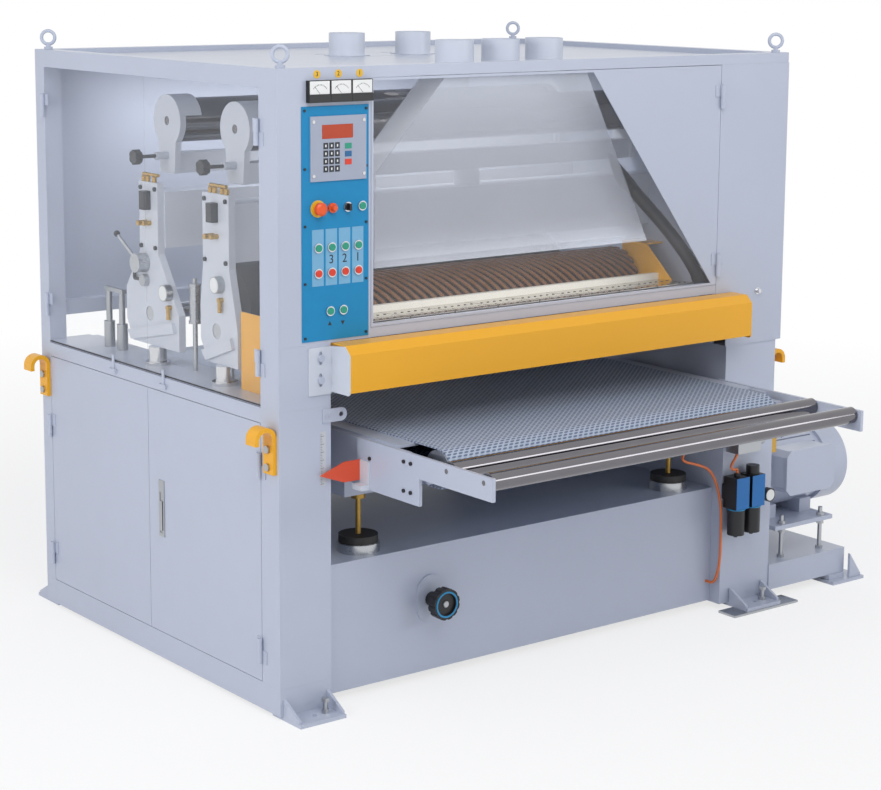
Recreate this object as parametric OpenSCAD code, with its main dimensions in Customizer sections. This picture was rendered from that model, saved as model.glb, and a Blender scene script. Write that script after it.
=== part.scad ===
// Wide belt sander: two sanding heads above a rising feed table
// Sizes are millimetres, +X points to the drive side, +Y along the feed and +Z up
// The origin lies on the floor in the middle of the floor anchor holes

/* [Body] */
// Width of the body
body_w = 2170; // [2100:10:2300]
// Depth of the body along the feed
body_d = 1530; // [1480:10:1700]
// Height of the body's top rim
body_h = 2000; // [1980:5:2080]
// Height of the seam between the lower and the upper body
seam_z = 970; // [964:1:976]
// Thickness of the sheet metal
sheet_t = 3; // [2:0.5:4]
// Width of the electrical cabinet and of the front post
cabinet_w = 190; // [170:5:210]
// Depth of the front corner strip
corner_d = 100; // [80:5:110]
// Width of the rear posts
post_w = 65; // [50:5:80]
// Height of the plinth under the cabinet
plinth_h = 100; // [80:5:120]
// Height of the rail above the cabinet doors
side_rail = 48; // [30:2:60]
// Height of the top rails
top_rail = 60; // [50:2:70]
// Height of the front top rail
front_rail = 35; // [25:1:45]
// How far the roof sheet lies below the rim
roof_drop = 17; // [10:1:24]

/* [Base] */
// Height of the base box
base_h = 445; // [420:5:470]
// Setback of the base box from the body's front and back
base_in = 55; // [40:5:70]
// Plate thickness of the base
plate_t = 10; // [8:1:14]
// Width of the drive-side columns
column_w = 250; // [230:5:260]
// Depth of the drive-side columns
column_d = 100; // [80:5:120]
// Inset of the drive-side columns from the body's side
column_in = 20; // [10:2:30]
// Reach of the outrigger beside the columns
outrigger_w = 410; // [390:5:450]
// Height of the outrigger's top
outrigger_h = 125; // [110:5:140]

/* [Feet] */
// Width of a foot plate
foot_w = 170; // [140:5:190]
// Reach of a foot plate in front of the body
foot_l = 95; // [85:5:110]
// Thickness of a foot plate
foot_t = 12; // [10:1:14]
// Radius of the floor anchor holes
anchor_r = 9; // [7:0.5:10]
// Distance of the cabinet-side anchors from the body's side
anchor_left = 96; // [90:2:104]
// Distance of the drive-side anchors from the body's side
anchor_right = 140; // [130:2:150]
// Radius of the levelling bolts
level_r = 8; // [6:0.5:10]
// Thickness of the shim plate
shim_t = 8; // [6:1:10]

/* [Doors] */
// Thickness of the clear side doors
clear_t = 5; // [4:0.5:8]
// Depth of the front door
door_t = 25; // [20:1:30]
// Gap round a door
door_gap = 2; // [1.5:0.5:3]
// Distance of the front door's hinge edge from the body's drive side
hinge_edge = 335; // [320:5:350]
// Height of the front door's bottom edge
front_door_z = 1198; // [1190:1:1210]
// Radius of a hinge knuckle
hinge_r = 8; // [7:0.5:10]
// Radius of a hinge pin
pin_r = 4; // [3:0.5:5]
// Height of a hinge half
hinge_h = 40; // [35:5:60]

/* [Controls] */
// Width of the control box
control_w = 340; // [330:5:350]
// Height of the control box's bottom
control_z = 1165; // [1160:1:1175]
// Width of the control plate
panel_w = 245; // [240:1:250]
// Height of the control plate
panel_h = 710; // [700:5:716]
// Radius of a push button
button_r = 11; // [8:0.5:12]
// Travel of a push button
button_travel = 4; // [3:0.5:5]
// Radius of the emergency stop's head
stop_r = 20; // [16:1:22]

/* [Heads] */
// Distance of the front head from the body's front
head_y = 470; // [460:5:490]
// Distance between the heads
head_pitch = 420; // [410:5:440]
// Height of the drums' lowest line
work_z = 1005; // [1002:1:1010]
// Radius of the contact drums
drum_r = 140; // [130:2:144]
// Length of the contact drums
drum_l = 1400; // [1340:10:1410]
// Ribs round the front drum
drum_ribs = 20; // [12:1:20]
// Lead of the front drum's ribs
drum_lead = 700; // [500:20:900]
// Radius of the drum shafts
shaft_r = 25; // [20:1:30]
// Radius of the idler rollers
idler_r = 73; // [65:1:76]
// Height of the idler rollers' axis
idler_z = 1785; // [1780:1:1800]
// Width of the head beams
beam_w = 130; // [110:5:150]
// Height of the head beams
beam_h = 185; // [160:5:190]
// Height of the head beams' top
beam_z = 1555; // [1550:1:1560]
// Radius of a yoke's pivot
pivot_r = 20; // [16:1:24]

/* [Dust] */
// Outer radius of a dust spigot
spigot_r = 63.5; // [50:0.5:70]
// Height of a dust spigot
spigot_h = 78; // [70:1:100]
// Wall of a dust spigot
spigot_t = 2; // [1.5:0.5:3]
// Depth of the dust hood
hood_d = 130; // [120:5:140]
// Wall of the dust hood
hood_t = 4; // [3:0.5:6]

/* [Table] */
// Width of the feed table over its arms
table_w = 1580; // [1560:2:1584]
// Width of the feed belt
belt_w = 1400; // [1380:5:1420]
// Height of the feed belt's top
belt_z = 862; // [858:1:866]
// Thickness of the feed belt
belt_t = 4; // [3:0.5:5]
// Radius of the table's drums
table_drum_r = 58; // [52:1:60]
// Reach of the infeed arms in front of the body
arm_reach = 657; // [640:2:680]
// Thickness of the infeed arms
arm_t = 12; // [10:1:15]
// Height of the arms' slim part
arm_h = 70; // [64:1:76]
// Radius of the infeed rollers
roller_r = 28; // [20:1:30]
// Radius of the lifting screws
screw_r = 9; // [8:0.5:14]
// Radius of the jacks' flanges
jack_r = 70; // [60:2:80]
// Radius of the handwheel
wheel_r = 52; // [45:1:60]

/* [Guard bar] */
// Height of the guard bar's face
bar_h = 143; // [130:1:145]
// Reach of the guard bar in front of the body
bar_reach = 100; // [90:2:115]
// Travel of the guard bar up and down
bar_travel = 15; // [10:1:16]

/* [Drives] */
// Radius of a motor's fan cowl
motor_r = 155; // [140:5:160]
// Length of a motor
motor_l = 460; // [420:10:480]
// Height of the motors' axis
motor_z = 420; // [415:1:430]
// Distance of the front motor from the body's front
motor_y = 235; // [230:5:250]
// Radius of the motors' pulleys
motor_pulley_r = 90; // [80:1:95]
// Radius of the drums' pulleys
drum_pulley_r = 80; // [70:1:90]

/* [Fits] */
// Radial clearance of turning fits
run_fit = 0.05; // [0.02:0.01:0.08]
// Clearance between pieces that slide or nearly touch
play = 0.3; // [0.25:0.05:0.5]
// Gap at a welded joint
weld = 0.2; // [0.1:0.05:0.3]

/* [Hidden] */
$fn = 48;

// Colours
paint = "#c8ced9";
yellow = "#e0a626";
blue = "#0a8fcb";
dark = "#2a2c30";
steel = "#b8bcc2";
chrome = "#d8dade";
brass = "#b08a3c";
green = "#2f9e83";
red = "#e0402a";

// Belt width that the body, table and drum sizes are given for, and what a wider belt adds
belt_ref = 1400;
extra_w = belt_w - belt_ref;

// Faces of the body
x_left = -(body_w + extra_w - anchor_left - anchor_right) / 2 - anchor_left;
x_right = x_left + body_w + extra_w;
y_front = -body_d / 2;
y_back = body_d / 2;
x_mid = (x_left + x_right) / 2;

// Columns and base
col_x1 = x_right - column_in;
col_x0 = col_x1 - column_w;
base_x0 = x_left + cabinet_w + weld;
base_x1 = col_x0 - weld;
base_y0 = y_front + base_in;
base_y1 = y_back - base_in;
base_z0 = 25;
col_inset = 5;
col_beam = 80;
out_x0 = col_x1 + weld;
out_x1 = col_x1 + outrigger_w;
out_y1 = y_back - 30;
out_z0 = 30;

// Feet
foot_under = 60;
gusset_h = 55;
gusset_t = 10;
anchor_y = foot_l / 2 - 2;
anchor_x0 = x_left + anchor_left;
anchor_x1 = x_right - anchor_right;
level_off = 40;

// Doors and hinges
hinge_out = hinge_r + 1;
hinge_leaf = 28;
hinge_t = 3;
side_y0 = y_front + corner_d;
side_y1 = y_back - post_w;
side_mid = (side_y0 + side_y1) / 2;
low_door_z0 = plinth_h + door_gap;
low_door_z1 = seam_z - side_rail - door_gap;
up_door_z0 = seam_z + 8;
up_door_z1 = body_h - top_rail - door_gap;
low_hinges = [low_door_z0 + 60, low_door_z1 - 170];
low_hinges_rear = [low_door_z0 + 60, low_door_z1 - 290];
up_hinges = [up_door_z0 + 90, up_door_z1 - 170];
front_hinges = [front_door_z + 30, body_h - front_rail - 150];
hinge_x = x_right - hinge_edge;
fdoor_x0 = x_left + control_w + door_gap;
fdoor_x1 = hinge_x - door_gap;
fdoor_z1 = body_h - front_rail - door_gap;

// Controls, measured from the control plate's lower left corner
panel_x = x_left + 85;
panel_z = control_z + 10;
panel_face = y_front - sheet_t;
row_z = [89, 207, 284, 403];
stations_x = [57, 106, 155, 204];
switches_x = [57, 109, 165, 219];
table_x = [100, 148];
bezel_h = 6;
bezel_t = 4;
cap_h = bezel_h + button_travel - 1;
stem_in = 18;

// Heads
head_front = y_front + head_y;
head_rear = head_front + head_pitch;
drum_z = work_z + drum_r;
end_x0 = x_left + 75;
end_t = 25;
end_x1 = end_x0 + end_t;
wall_t = 12;
wall_x0 = x_right - 285;
wall_x1 = wall_x0 + wall_t;
floor_t = 8;
floor_z = seam_z + floor_t;
support_h = 62;
support_r = 30;
end_z0 = floor_z + support_h;
roll_l = drum_l + extra_w;
drum_x0 = x_mid - roll_l / 2;
drum_x1 = x_mid + roll_l / 2;
yoke_x0 = x_left + 150;
yoke_x1 = x_right - 340;
yoke_t = 22;
yoke_w = 70;
yoke_z0 = beam_z + 57;
yoke_h = 66;
idler_shaft_r = 15;
knob_z = yoke_z0 + yoke_h - 8;
lever_y = head_rear + 25;
lever_z = beam_z - 240;
lever_pin_r = 12;

// Dust hood outline and spigots
hood_y0 = y_front + 160;
hood_y1 = hood_y0 + hood_d;
hood_z0 = drum_z + drum_r + 65;
hood_z1 = body_h - roof_drop - sheet_t - weld;
hood_top = 278;
hood_low = 590 + extra_w / 2;
hood_knee = 585 + extra_w / 2;
hood_knee_z = hood_z0 + 300;
roof_z = body_h - roof_drop;
hood_mid = x_mid - 25;
front_spigots = [hood_mid - 223, hood_mid - 30, hood_mid + 158];
rear_spigots = [x_mid - 195, x_mid + 95];
front_spigot_y = (hood_y0 + hood_y1) / 2;
rear_spigot_y = y_front + 905;
spigot_flange = 18;

// Table
tab_x0 = x_mid - (table_w + extra_w) / 2;
tab_x1 = x_mid + (table_w + extra_w) / 2;
side_t = 18;
belt_x0 = x_mid - belt_w / 2;
belt_x1 = x_mid + belt_w / 2;
tdrum_z = belt_z - belt_t - table_drum_r - play;
tdrum_y0 = y_front - 290;
tdrum_y1 = y_back + 70;
arm_z1 = belt_z - 7;
arm_z0 = belt_z - 162;
arm_step = 310;
arm_back = 8;
bed_t = 9;
roller_z = arm_z1 + 8 - roller_r;
roller_y = [y_front - arm_reach + 40, y_front - arm_reach + 215];
roller_pin_r = 8;
tshaft_r = 20;
jack_x = belt_w / 2 - 15;
jack_y0 = y_front + 150;
jack_y1 = y_back - 150;
jack_h = 30;
boot_h = 25;
boot_r = jack_r - 6;
beam_top = arm_z0 - weld;
cross_h = 60;
cross_w = 90;
screw_low = 250;

// Handwheel
wheel_x = x_left + 617;
wheel_z = 268;
wheel_shaft_r = 10;
wheel_t = 34;
wheel_out = 52;

// Guard bar
bar_x0 = x_left + cabinet_w;
bar_x1 = x_right - 255;
bar_z = seam_z + 52;
bar_t = 4;
bar_bevel = 26;
bracket_w = 83;
slot_off = 40;
bolt_r = 5;
slot_z = [bar_z + 32, bar_z + 100];

// Width of a transport hook and height of its loop's middle
hook_w = 54;
hook_z = seam_z - 82;

// Room above the table's arms in the front panel
arm_room = 50;

// Filter-regulator on the front column
reg_x = x_right - 241;
reg_pitch = 79;
reg_w = 32;
reg_bowl_r = 31;
reg_bowl_z = 287;
reg_z0 = 385;
reg_z1 = 500;
reg_y = y_front + col_inset - weld - 44;
gauge_off = 155;
valve_z0 = 585;
valve_z1 = 655;

// Drives
pulley_x0 = x_right - 195;
pulley_w = 70;
motor_x0 = col_x1 + 40;
motors_y = [y_front + motor_y, y_front + motor_y + 465];
heads_y = [head_front, head_rear];
motor_shaft_r = 22;
motor_foot_z = motor_z - motor_r - 12;
vbelt_t = 8;

// Box between two opposite corners
module box(lo, hi) {
    translate(lo) cube(hi - lo);
}

// Round bars along the three axes
module rod_x(x0, x1, y, z, r) {
    translate([x0, y, z]) rotate([0, 90, 0]) cylinder(h = x1 - x0, r = r);
}
module rod_y(y0, y1, x, z, r) {
    translate([x, y0, z]) rotate([-90, 0, 0]) cylinder(h = y1 - y0, r = r);
}
module rod_z(z0, z1, x, y, r) {
    translate([x, y, z0]) cylinder(h = z1 - z0, r = r);
}

// Flat shapes drawn in (Y, Z) or (X, Z) and given a thickness
module slab_x(x0, x1) {
    translate([x0, 0, 0]) rotate([90, 0, 90]) linear_extrude(x1 - x0) children();
}
module slab_y(y0, y1) {
    translate([0, y1, 0]) rotate([90, 0, 0]) linear_extrude(y1 - y0) children();
}

// Upright rectangular tube with a closed top
module post(lo, hi, t) {
    difference() {
        box(lo, hi);
        box([lo.x + t, lo.y + t, lo.z - 1], [hi.x - t, hi.y - t, hi.z - t]);
    }
}

// Hinge halves: local X runs along the door, local +Y goes into the body
module hinge_frame_half() {
    cylinder(h = hinge_h, r = hinge_r);
    cylinder(h = 2 * hinge_h - 4, r = pin_r);
    translate([-hinge_leaf, hinge_out - hinge_t, 0]) cube([hinge_leaf, hinge_t, hinge_h]);
}
module hinge_door_half() {
    translate([0, 0, hinge_h + play]) difference() {
        union() {
            cylinder(h = hinge_h, r = hinge_r);
            translate([0, hinge_out - hinge_t, 0]) cube([hinge_leaf, hinge_t, hinge_h]);
        }
        translate([0, 0, -1]) cylinder(h = hinge_h + 2, r = pin_r + run_fit);
    }
}

// Places of the hinges on the cabinet side and on the front
module at_front_leaf(z) {
    translate([x_left - hinge_out, side_y0, z]) mirror([0, 1, 0]) rotate([0, 0, -90]) children();
}
module at_rear_leaf(z) {
    translate([x_left - hinge_out, side_y1, z]) rotate([0, 0, -90]) children();
}
module at_front_door(z) {
    translate([hinge_x, y_front - hinge_out, z]) mirror([1, 0, 0]) children();
}

// Foot with two gussets; it reaches out along local -Y from the body's face at local y = 0
module foot(anchor) {
    difference() {
        translate([-foot_w / 2, -foot_l, 0]) cube([foot_w, foot_l + foot_under, foot_t]);
        translate([0, -anchor_y, -1]) cylinder(h = foot_t + 2, r = anchor);
        translate([level_off, -anchor_y, -1]) cylinder(h = foot_t + 2, r = level_r + run_fit);
    }
    for (side = [-1, 1])
        translate([side * (foot_w / 2 - gusset_t / 2), 0, foot_t + weld])
            rotate([90, 0, -90]) linear_extrude(gusset_t, center = true)
                polygon([[weld, 0], [foot_l - 10, 0], [foot_l - 10, 8], [weld, gusset_h]]);
}
module level_bolt() {
    cylinder(h = foot_t + 38, r = level_r);
    translate([0, 0, foot_t + weld]) cylinder(h = 13, r = level_r * 1.7, $fn = 6);
    translate([0, 0, foot_t + 38]) cylinder(h = 11, r = level_r * 1.7, $fn = 6);
}
module at_foot(x, front, z) {
    translate([x, front ? y_front : y_back, z]) rotate([0, 0, front ? 0 : 180]) children();
}

// Tube swept along a route of points
function unit(v) = v / norm(v);
function route_dir(p, i) = unit(p[min(i + 1, len(p) - 1)] - p[max(i - 1, 0)]);
function route_side(d) = unit(cross(d, abs(d.y) < 0.9 ? [0, 1, 0] : [1, 0, 0]));
function ring_points(p, i, r, n) = let (d = route_dir(p, i), u = route_side(d), v = cross(d, u))
    [for (k = [0 : n - 1]) p[i] + r * (cos(360 * k / n) * u + sin(360 * k / n) * v)];
function bend(a, b, c, t) = (1 - t) * (1 - t) * a + 2 * t * (1 - t) * b + t * t * c;
function smooth(p, n) = [p[0], for (i = [1 : len(p) - 2]) for (k = [0 : n])
    bend((p[i - 1] + p[i]) / 2, p[i], (p[i] + p[i + 1]) / 2, k / n), p[len(p) - 1]];
function spaced(p) = [for (i = [0 : len(p) - 1]) if (i == 0 || norm(p[i] - p[i - 1]) > 1) p[i]];
module tube(route, r, n) {
    p = spaced(smooth(route, 3));
    m = len(p);
    rings = [for (i = [0 : m - 1]) each ring_points(p, i, r, n)];
    quads = [for (i = [0 : m - 2]) for (k = [0 : n - 1])
        [i * n + k, i * n + (k + 1) % n, (i + 1) * n + (k + 1) % n, (i + 1) * n + k]];
    walls = [for (q = quads) each [[q[0], q[2], q[1]], [q[0], q[3], q[2]]]];
    ends = [[for (k = [0 : n - 1]) k], [for (k = [0 : n - 1]) m * n - 1 - k]];
    polyhedron(points = rings, faces = concat(walls, ends));
}

// Welded base box on the floor, with the plinth under the cabinet
module base_frame() color(paint) {
    difference() {
        box([base_x0, base_y0, base_z0], [base_x1, base_y0 + plate_t, base_h - plate_t - weld]);
        rod_y(base_y0 - 1, base_y0 + plate_t + 1, wheel_x, wheel_z, wheel_shaft_r + run_fit);
    }
    box([base_x0, base_y1 - plate_t, base_z0], [base_x1, base_y1, base_h - plate_t - weld]);
    for (x = [base_x0, base_x1 - plate_t])
        box([x, base_y0 + plate_t + weld, base_z0],
            [x + plate_t, base_y1 - plate_t - weld, base_h - plate_t - weld]);
    difference() {
        box([base_x0, base_y0, base_h - plate_t], [base_x1, base_y1, base_h]);
        for (x = [-jack_x, jack_x], y = [jack_y0, jack_y1])
            rod_z(base_h - plate_t - 1, base_h + 1, x_mid + x, y, screw_r + 10);
    }
    escutcheon();
    plinth();
    for (front = [true, false]) at_foot(anchor_x0, front, 0) foot(anchor_r);
    drive_frame();
}
module escutcheon() {
    difference() {
        slab_y(base_y0 - weld - 8, base_y0 - weld) union() {
            for (z = [-26, 26]) translate([wheel_x, wheel_z + z]) circle(r = 54);
            translate([wheel_x - 54, wheel_z - 26]) square([108, 52]);
        }
        rod_y(base_y0 - 10, base_y0 + 1, wheel_x, wheel_z, wheel_shaft_r + run_fit);
    }
}
module plinth() {
    x1 = x_left + cabinet_w;
    for (x = [x_left, x1 - plate_t])
        box([x, y_front + plate_t + weld, foot_t + weld], [x + plate_t, y_back - plate_t - weld, plinth_h]);
    for (y = [y_front, y_back - plate_t])
        box([x_left, y, foot_t + weld], [x1, y + plate_t, plinth_h]);
}

// Levelling bolts with their nuts, and the shim plate under the front drive-side foot
module levelling_feet() color(steel) {
    for (front = [true, false]) at_foot(anchor_x0, front, 0)
        translate([level_off, -anchor_y, 0]) level_bolt();
    at_foot(anchor_x1, true, shim_t) translate([level_off, -anchor_y, 0]) level_bolt();
    at_foot(anchor_x1, false, 0) translate([level_off, -anchor_y, 0]) level_bolt();
    difference() {
        box([anchor_x1 - foot_w / 2 - 72, y_front - foot_l - 8, 0],
            [anchor_x1 + foot_w / 2 + 84, y_front - 20, shim_t]);
        rod_z(-1, shim_t + 1, anchor_x1, y_front - anchor_y, anchor_r);
    }
}

// Columns, beams, inner wall and outrigger on the drive side
module drive_frame() {
    front_y = y_front + col_inset;
    rear_y = y_back - col_inset - column_d;
    post([col_x0, front_y, foot_t + shim_t + weld], [col_x1, front_y + column_d, seam_z], 6);
    post([col_x0, rear_y, foot_t + weld], [col_x1, rear_y + column_d, seam_z], 6);
    y0 = front_y + column_d + weld;
    y1 = rear_y - weld;
    for (x = [col_x0, col_x1 - 50], z = [out_z0, seam_z - col_beam])
        box([x, y0, z], [x + 50, y1, z + col_beam]);
    box([col_x0, y0, out_z0 + col_beam + weld], [col_x0 + 6, y1, seam_z - col_beam - weld]);
    outrigger();
    at_foot(anchor_x1, true, shim_t) foot(anchor_r);
    at_foot(anchor_x1, false, 0) foot(anchor_r);
    motor_mounts();
}
module outrigger() {
    t = 8;
    box([out_x0, y_front, outrigger_h - t], [out_x1, out_y1, outrigger_h]);
    for (y = [y_front, out_y1 - t])
        box([out_x0, y, out_z0], [out_x1 - t - weld, y + t, outrigger_h - t - weld]);
    box([out_x1 - t, y_front, out_z0], [out_x1, out_y1, outrigger_h - t - weld]);
    for (y = [y_front + 80, out_y1 - 80]) {
        box([out_x1 - 100, y - 120, 0], [out_x1 + 70, y + 120, foot_t]);
        box([out_x1 - 90, y - 90, foot_t + weld], [out_x1 - t - weld, y + 90, out_z0 - weld]);
        for (side = [-1, 1]) slab_y(y + side * 105 - 5, y + side * 105 + 5)
            polygon([[out_x1 + weld, foot_t + weld], [out_x1 + 62, foot_t + weld],
                [out_x1 + 62, foot_t + 8], [out_x1 + weld, outrigger_h - 20]]);
    }
}

// Hinged motor plates on threaded rods
module motor_mounts() {
    for (y = motors_y) {
        difference() {
            box([motor_x0 + 20, y - 205, motor_foot_z - 16], [motor_x0 + 330, y + 170, motor_foot_z]);
            for (x = [70, 280]) rod_z(motor_foot_z - 17, motor_foot_z + 1, motor_x0 + x, y - 188, 8 + play);
        }
        for (x = [70, 280]) {
            rod_z(outrigger_h + weld, motor_foot_z + 34, motor_x0 + x, y - 188, 8);
            for (z = [outrigger_h + weld, motor_foot_z - 30, motor_foot_z + weld])
                translate([motor_x0 + x, y - 188, z]) cylinder(h = 13, r = 14, $fn = 6);
        }
        for (x = [40, 290]) rod_x(motor_x0 + x, motor_x0 + x + 30, y + 150, motor_foot_z - 32 - weld, 16);
        for (x = [48, 298]) box([motor_x0 + x, y + 138, outrigger_h + weld],
            [motor_x0 + x + 14, y + 162, motor_foot_z - 48 - 2 * weld]);
    }
}

// Electrical cabinet with its posts, mounting plate and switchgear
module electrical_cabinet() color(paint) {
    x1 = x_left + cabinet_w;
    z0 = plinth_h + weld;
    post([x_left, y_front, z0], [x1, side_y0 - weld, seam_z], sheet_t);
    post([x_left, side_y1 + weld, z0], [x1, y_back, seam_z], sheet_t);
    box([x_left, side_y0, seam_z - sheet_t], [x1, side_y1, seam_z]);
    box([x_left, side_y0, seam_z - side_rail], [x_left + sheet_t, side_y1, seam_z - sheet_t - weld]);
    box([x1 - sheet_t, side_y0, z0], [x1, side_y1, seam_z - sheet_t - weld]);
    box([x_left + sheet_t + door_gap, side_y0, z0], [x1 - sheet_t - weld, side_y1, z0 + sheet_t]);
    gear_x = x1 - 40;
    box([gear_x, side_y0 + 60, z0 + sheet_t + weld], [gear_x + sheet_t, side_y1 - 60, seam_z - side_rail - 30]);
    for (row = [0 : 2], i = [0 : 7]) {
        y = side_y0 + 110 + i * 142;
        z = z0 + 130 + row * 230;
        box([gear_x - weld - (row == 1 ? 60 : 80), y, z], [gear_x - weld, y + 90 - 15 * row, z + 100]);
    }
    for (z = low_hinges) at_front_leaf(z) hinge_frame_half();
    for (z = low_hinges_rear) at_rear_leaf(z) hinge_frame_half();
    post_lug(x1, seam_z - 30);
}

// Flat lug on the front post, with its two screws
module post_lug(x1, z) {
    r = 21;
    slab_y(y_front - weld - 5, y_front - weld) difference() {
        union() {
            translate([x1 - 32, z - r]) square([68, 2 * r]);
            translate([x1 + 36, z]) circle(r = r);
        }
        translate([x1 + 36, z]) circle(r = 8);
    }
    for (x = [-20, -8]) rod_y(y_front - weld - 9, y_front - weld - 5, x1 + x, z, 4);
}

// Posts, rails, drive-side wall and belt-change floor of the upper body
module upper_frame() color(paint) {
    post([x_left, y_front, seam_z + weld], [x_left + cabinet_w, side_y0, control_z - weld], sheet_t);
    rail_z = body_h - top_rail;
    post([x_left, side_y1, seam_z + weld], [x_left + post_w, y_back, body_h], sheet_t);
    post([x_right - post_w, side_y1, seam_z + weld], [x_right, y_back, body_h], sheet_t);
    post([x_right - post_w, y_front + sheet_t + weld, seam_z + weld],
        [x_right, y_front + post_w, body_h], sheet_t);
    box([x_left, side_y0 + weld, rail_z], [x_left + 50, side_y1 - weld, body_h]);
    box([x_right - 50, y_front + post_w + weld, rail_z], [x_right, side_y1 - weld, body_h]);
    box([x_left + post_w + weld, y_back - 50, rail_z], [x_right - post_w - weld, y_back, body_h]);
    box([x_left + control_w + weld, y_front, body_h - front_rail],
        [x_right - post_w - weld, y_front + 50, body_h]);
    box([x_right - 50, y_front + post_w + weld, seam_z + weld], [x_right, side_y1 - weld, seam_z + 40]);
    box([x_left + post_w + weld, y_back - 50, work_z + 55], [wall_x0 - weld, y_back, work_z + 105]);
    drive_wall();
    belt_change_floor();
    bar_bolts(bar_x0 - slot_off);
    for (z = up_hinges) {
        at_front_leaf(z) hinge_frame_half();
        at_rear_leaf(z) hinge_frame_half();
    }
}
module drive_wall() {
    difference() {
        box([wall_x0, y_front + post_w, seam_z + weld], [wall_x1, side_y1, roof_z - sheet_t - weld]);
        for (y = heads_y) rod_x(wall_x0 - 1, wall_x1 + 1, y, drum_z, shaft_r + run_fit);
    }
}
module belt_change_floor() {
    pitch = 15;
    difference() {
        box([x_left + clear_t + door_gap, side_y0 + weld, seam_z + weld],
            [x_left + cabinet_w, side_y1 - weld, floor_z]);
        for (y = [355, 656, 1077], row = [0 : 3], i = [0 : 7])
            rod_z(seam_z, floor_z + 1, x_left + 124 + row * pitch, side_y0 + y + i * pitch, 3.5);
    }
}

// Roof, rear, drive-side and front panels, and the sill below the front door
module cover_panels() color(paint) {
    difference() {
        box([x_left + 50 + weld, y_front + 50 + weld, roof_z - sheet_t],
            [x_right - 50 - weld, y_back - 50 - weld, roof_z]);
        box([x_left, y_front, roof_z - sheet_t - 1], [x_left + control_w + weld, side_y0 + weld, roof_z + 1]);
        for (x = [x_left, x_right - post_w - weld])
            box([x, side_y1 - weld, roof_z - sheet_t - 1], [x + post_w + weld, y_back, roof_z + 1]);
        box([x_right - post_w - weld, y_front, roof_z - 10], [x_right, y_front + post_w + weld, roof_z + 1]);
        for (x = front_spigots) rod_z(roof_z - 10, roof_z + 1, x, front_spigot_y, spigot_r - spigot_t);
        for (x = rear_spigots) rod_z(roof_z - 10, roof_z + 1, x, rear_spigot_y, spigot_r - spigot_t);
        for (x = rear_spigots, y = [-120, 105])
            box([x - 60, rear_spigot_y + y, roof_z - 10], [x + 130, rear_spigot_y + y + 12, roof_z + 1]);
    }
    box([x_left + post_w + weld, y_back - sheet_t, work_z + 105 + weld],
        [x_right - post_w - weld, y_back, body_h - top_rail - weld]);
    box([x_right - sheet_t, y_front + post_w + weld, seam_z + 40 + weld],
        [x_right, side_y1 - weld, body_h - top_rail - weld]);
    panel_z1 = body_h - front_rail - weld;
    slab_y(y_front, y_front + sheet_t) polygon([[hinge_x, seam_z + arm_room], [col_x0 - 10, seam_z + arm_room],
        [col_x0 - 10, seam_z + weld], [x_right, seam_z + weld], [x_right, panel_z1], [hinge_x, panel_z1]]);
    lower_cover();
    sill_x0 = x_left + control_w + weld;
    box([sill_x0, y_front + 2, control_z], [hinge_x - weld, y_front + 2 + sheet_t, control_z + 28]);
    box([sill_x0, y_front + 2, control_z + 28 + weld],
        [hinge_x - weld, y_front + 62, control_z + 28 + weld + sheet_t]);
    for (z = front_hinges) at_front_door(z) hinge_frame_half();
    bar_bolts(bar_x1 - slot_off);
}
module lower_cover() {
    y0 = y_front + col_inset + column_d + weld;
    y1 = y_back - col_inset - column_d - weld;
    difference() {
        box([col_x1 + weld, y0, outrigger_h + weld], [col_x1 + weld + sheet_t, y1, seam_z]);
        for (y = motors_y) rod_x(col_x1, col_x1 + 10, y, motor_z, 60);
    }
}

// Sheet-metal control box with the opening behind its plate
module control_box() color(paint) {
    x1 = x_left + control_w;
    difference() {
        box([x_left, y_front, control_z], [x1, side_y0, body_h]);
        box([x_left + sheet_t, y_front + sheet_t, control_z + sheet_t],
            [x1 - sheet_t, side_y0 - sheet_t, body_h - sheet_t]);
        box([panel_x + 10, y_front - 1, panel_z + 10],
            [panel_x + panel_w - 10, y_front + sheet_t + 1, panel_z + panel_h - 10]);
    }
}

// Blue control plate with the holes for the switches
module at_switch(x, z) {
    translate([panel_x + x, panel_face, panel_z + z]) rotate([90, 0, 0]) children();
}
module every_switch() {
    for (x = switches_x) at_switch(x, row_z[3]) children();
    for (x = stations_x, z = [row_z[1], row_z[2]]) at_switch(x, z) children();
    for (x = table_x) at_switch(x, row_z[0]) children();
}
module control_plate() color(blue) {
    difference() {
        box([panel_x, panel_face, panel_z], [panel_x + panel_w, y_front, panel_z + panel_h]);
        every_switch() translate([0, 0, -sheet_t - 1]) cylinder(h = sheet_t + 2, r = button_r + play);
    }
}

// Ammeters, thickness controller, switch bezels and the pilot lamp
module panel_instruments() color("#d5d8dc") {
    meter_w = 78;
    for (i = [0 : 2]) translate([x_left + 103 + i * meter_w, y_front - 20, panel_z + panel_h + 11]) {
        cube([meter_w - 1, 20, 24]);
        translate([0, 4, 24]) cube([meter_w - 1, 16, 42]);
    }
    box([panel_x + 29, panel_face - 5, panel_z + 485], [panel_x + 233, panel_face, panel_z + 680]);
    for (i = [0 : 3]) if (i != 1) at_switch(switches_x[i], row_z[3]) bezel();
    for (x = stations_x, z = [row_z[1], row_z[2]]) at_switch(x, z) bezel();
    for (x = table_x) at_switch(x, row_z[0]) bezel();
    at_switch(switches_x[0], row_z[3]) difference() {
        cylinder(h = 2, r = stop_r + 6);
        translate([0, 0, -1]) cylinder(h = 5, r = button_r + bezel_t + weld);
    }
    at_switch(switches_x[1], row_z[3]) {
        translate([0, 0, -stem_in]) cylinder(h = stem_in, r = button_r);
        cylinder(h = 8, r = button_r + bezel_t);
        translate([0, 0, 8]) cylinder(h = 12, r1 = button_r, r2 = button_r - 3);
    }
}
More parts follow.
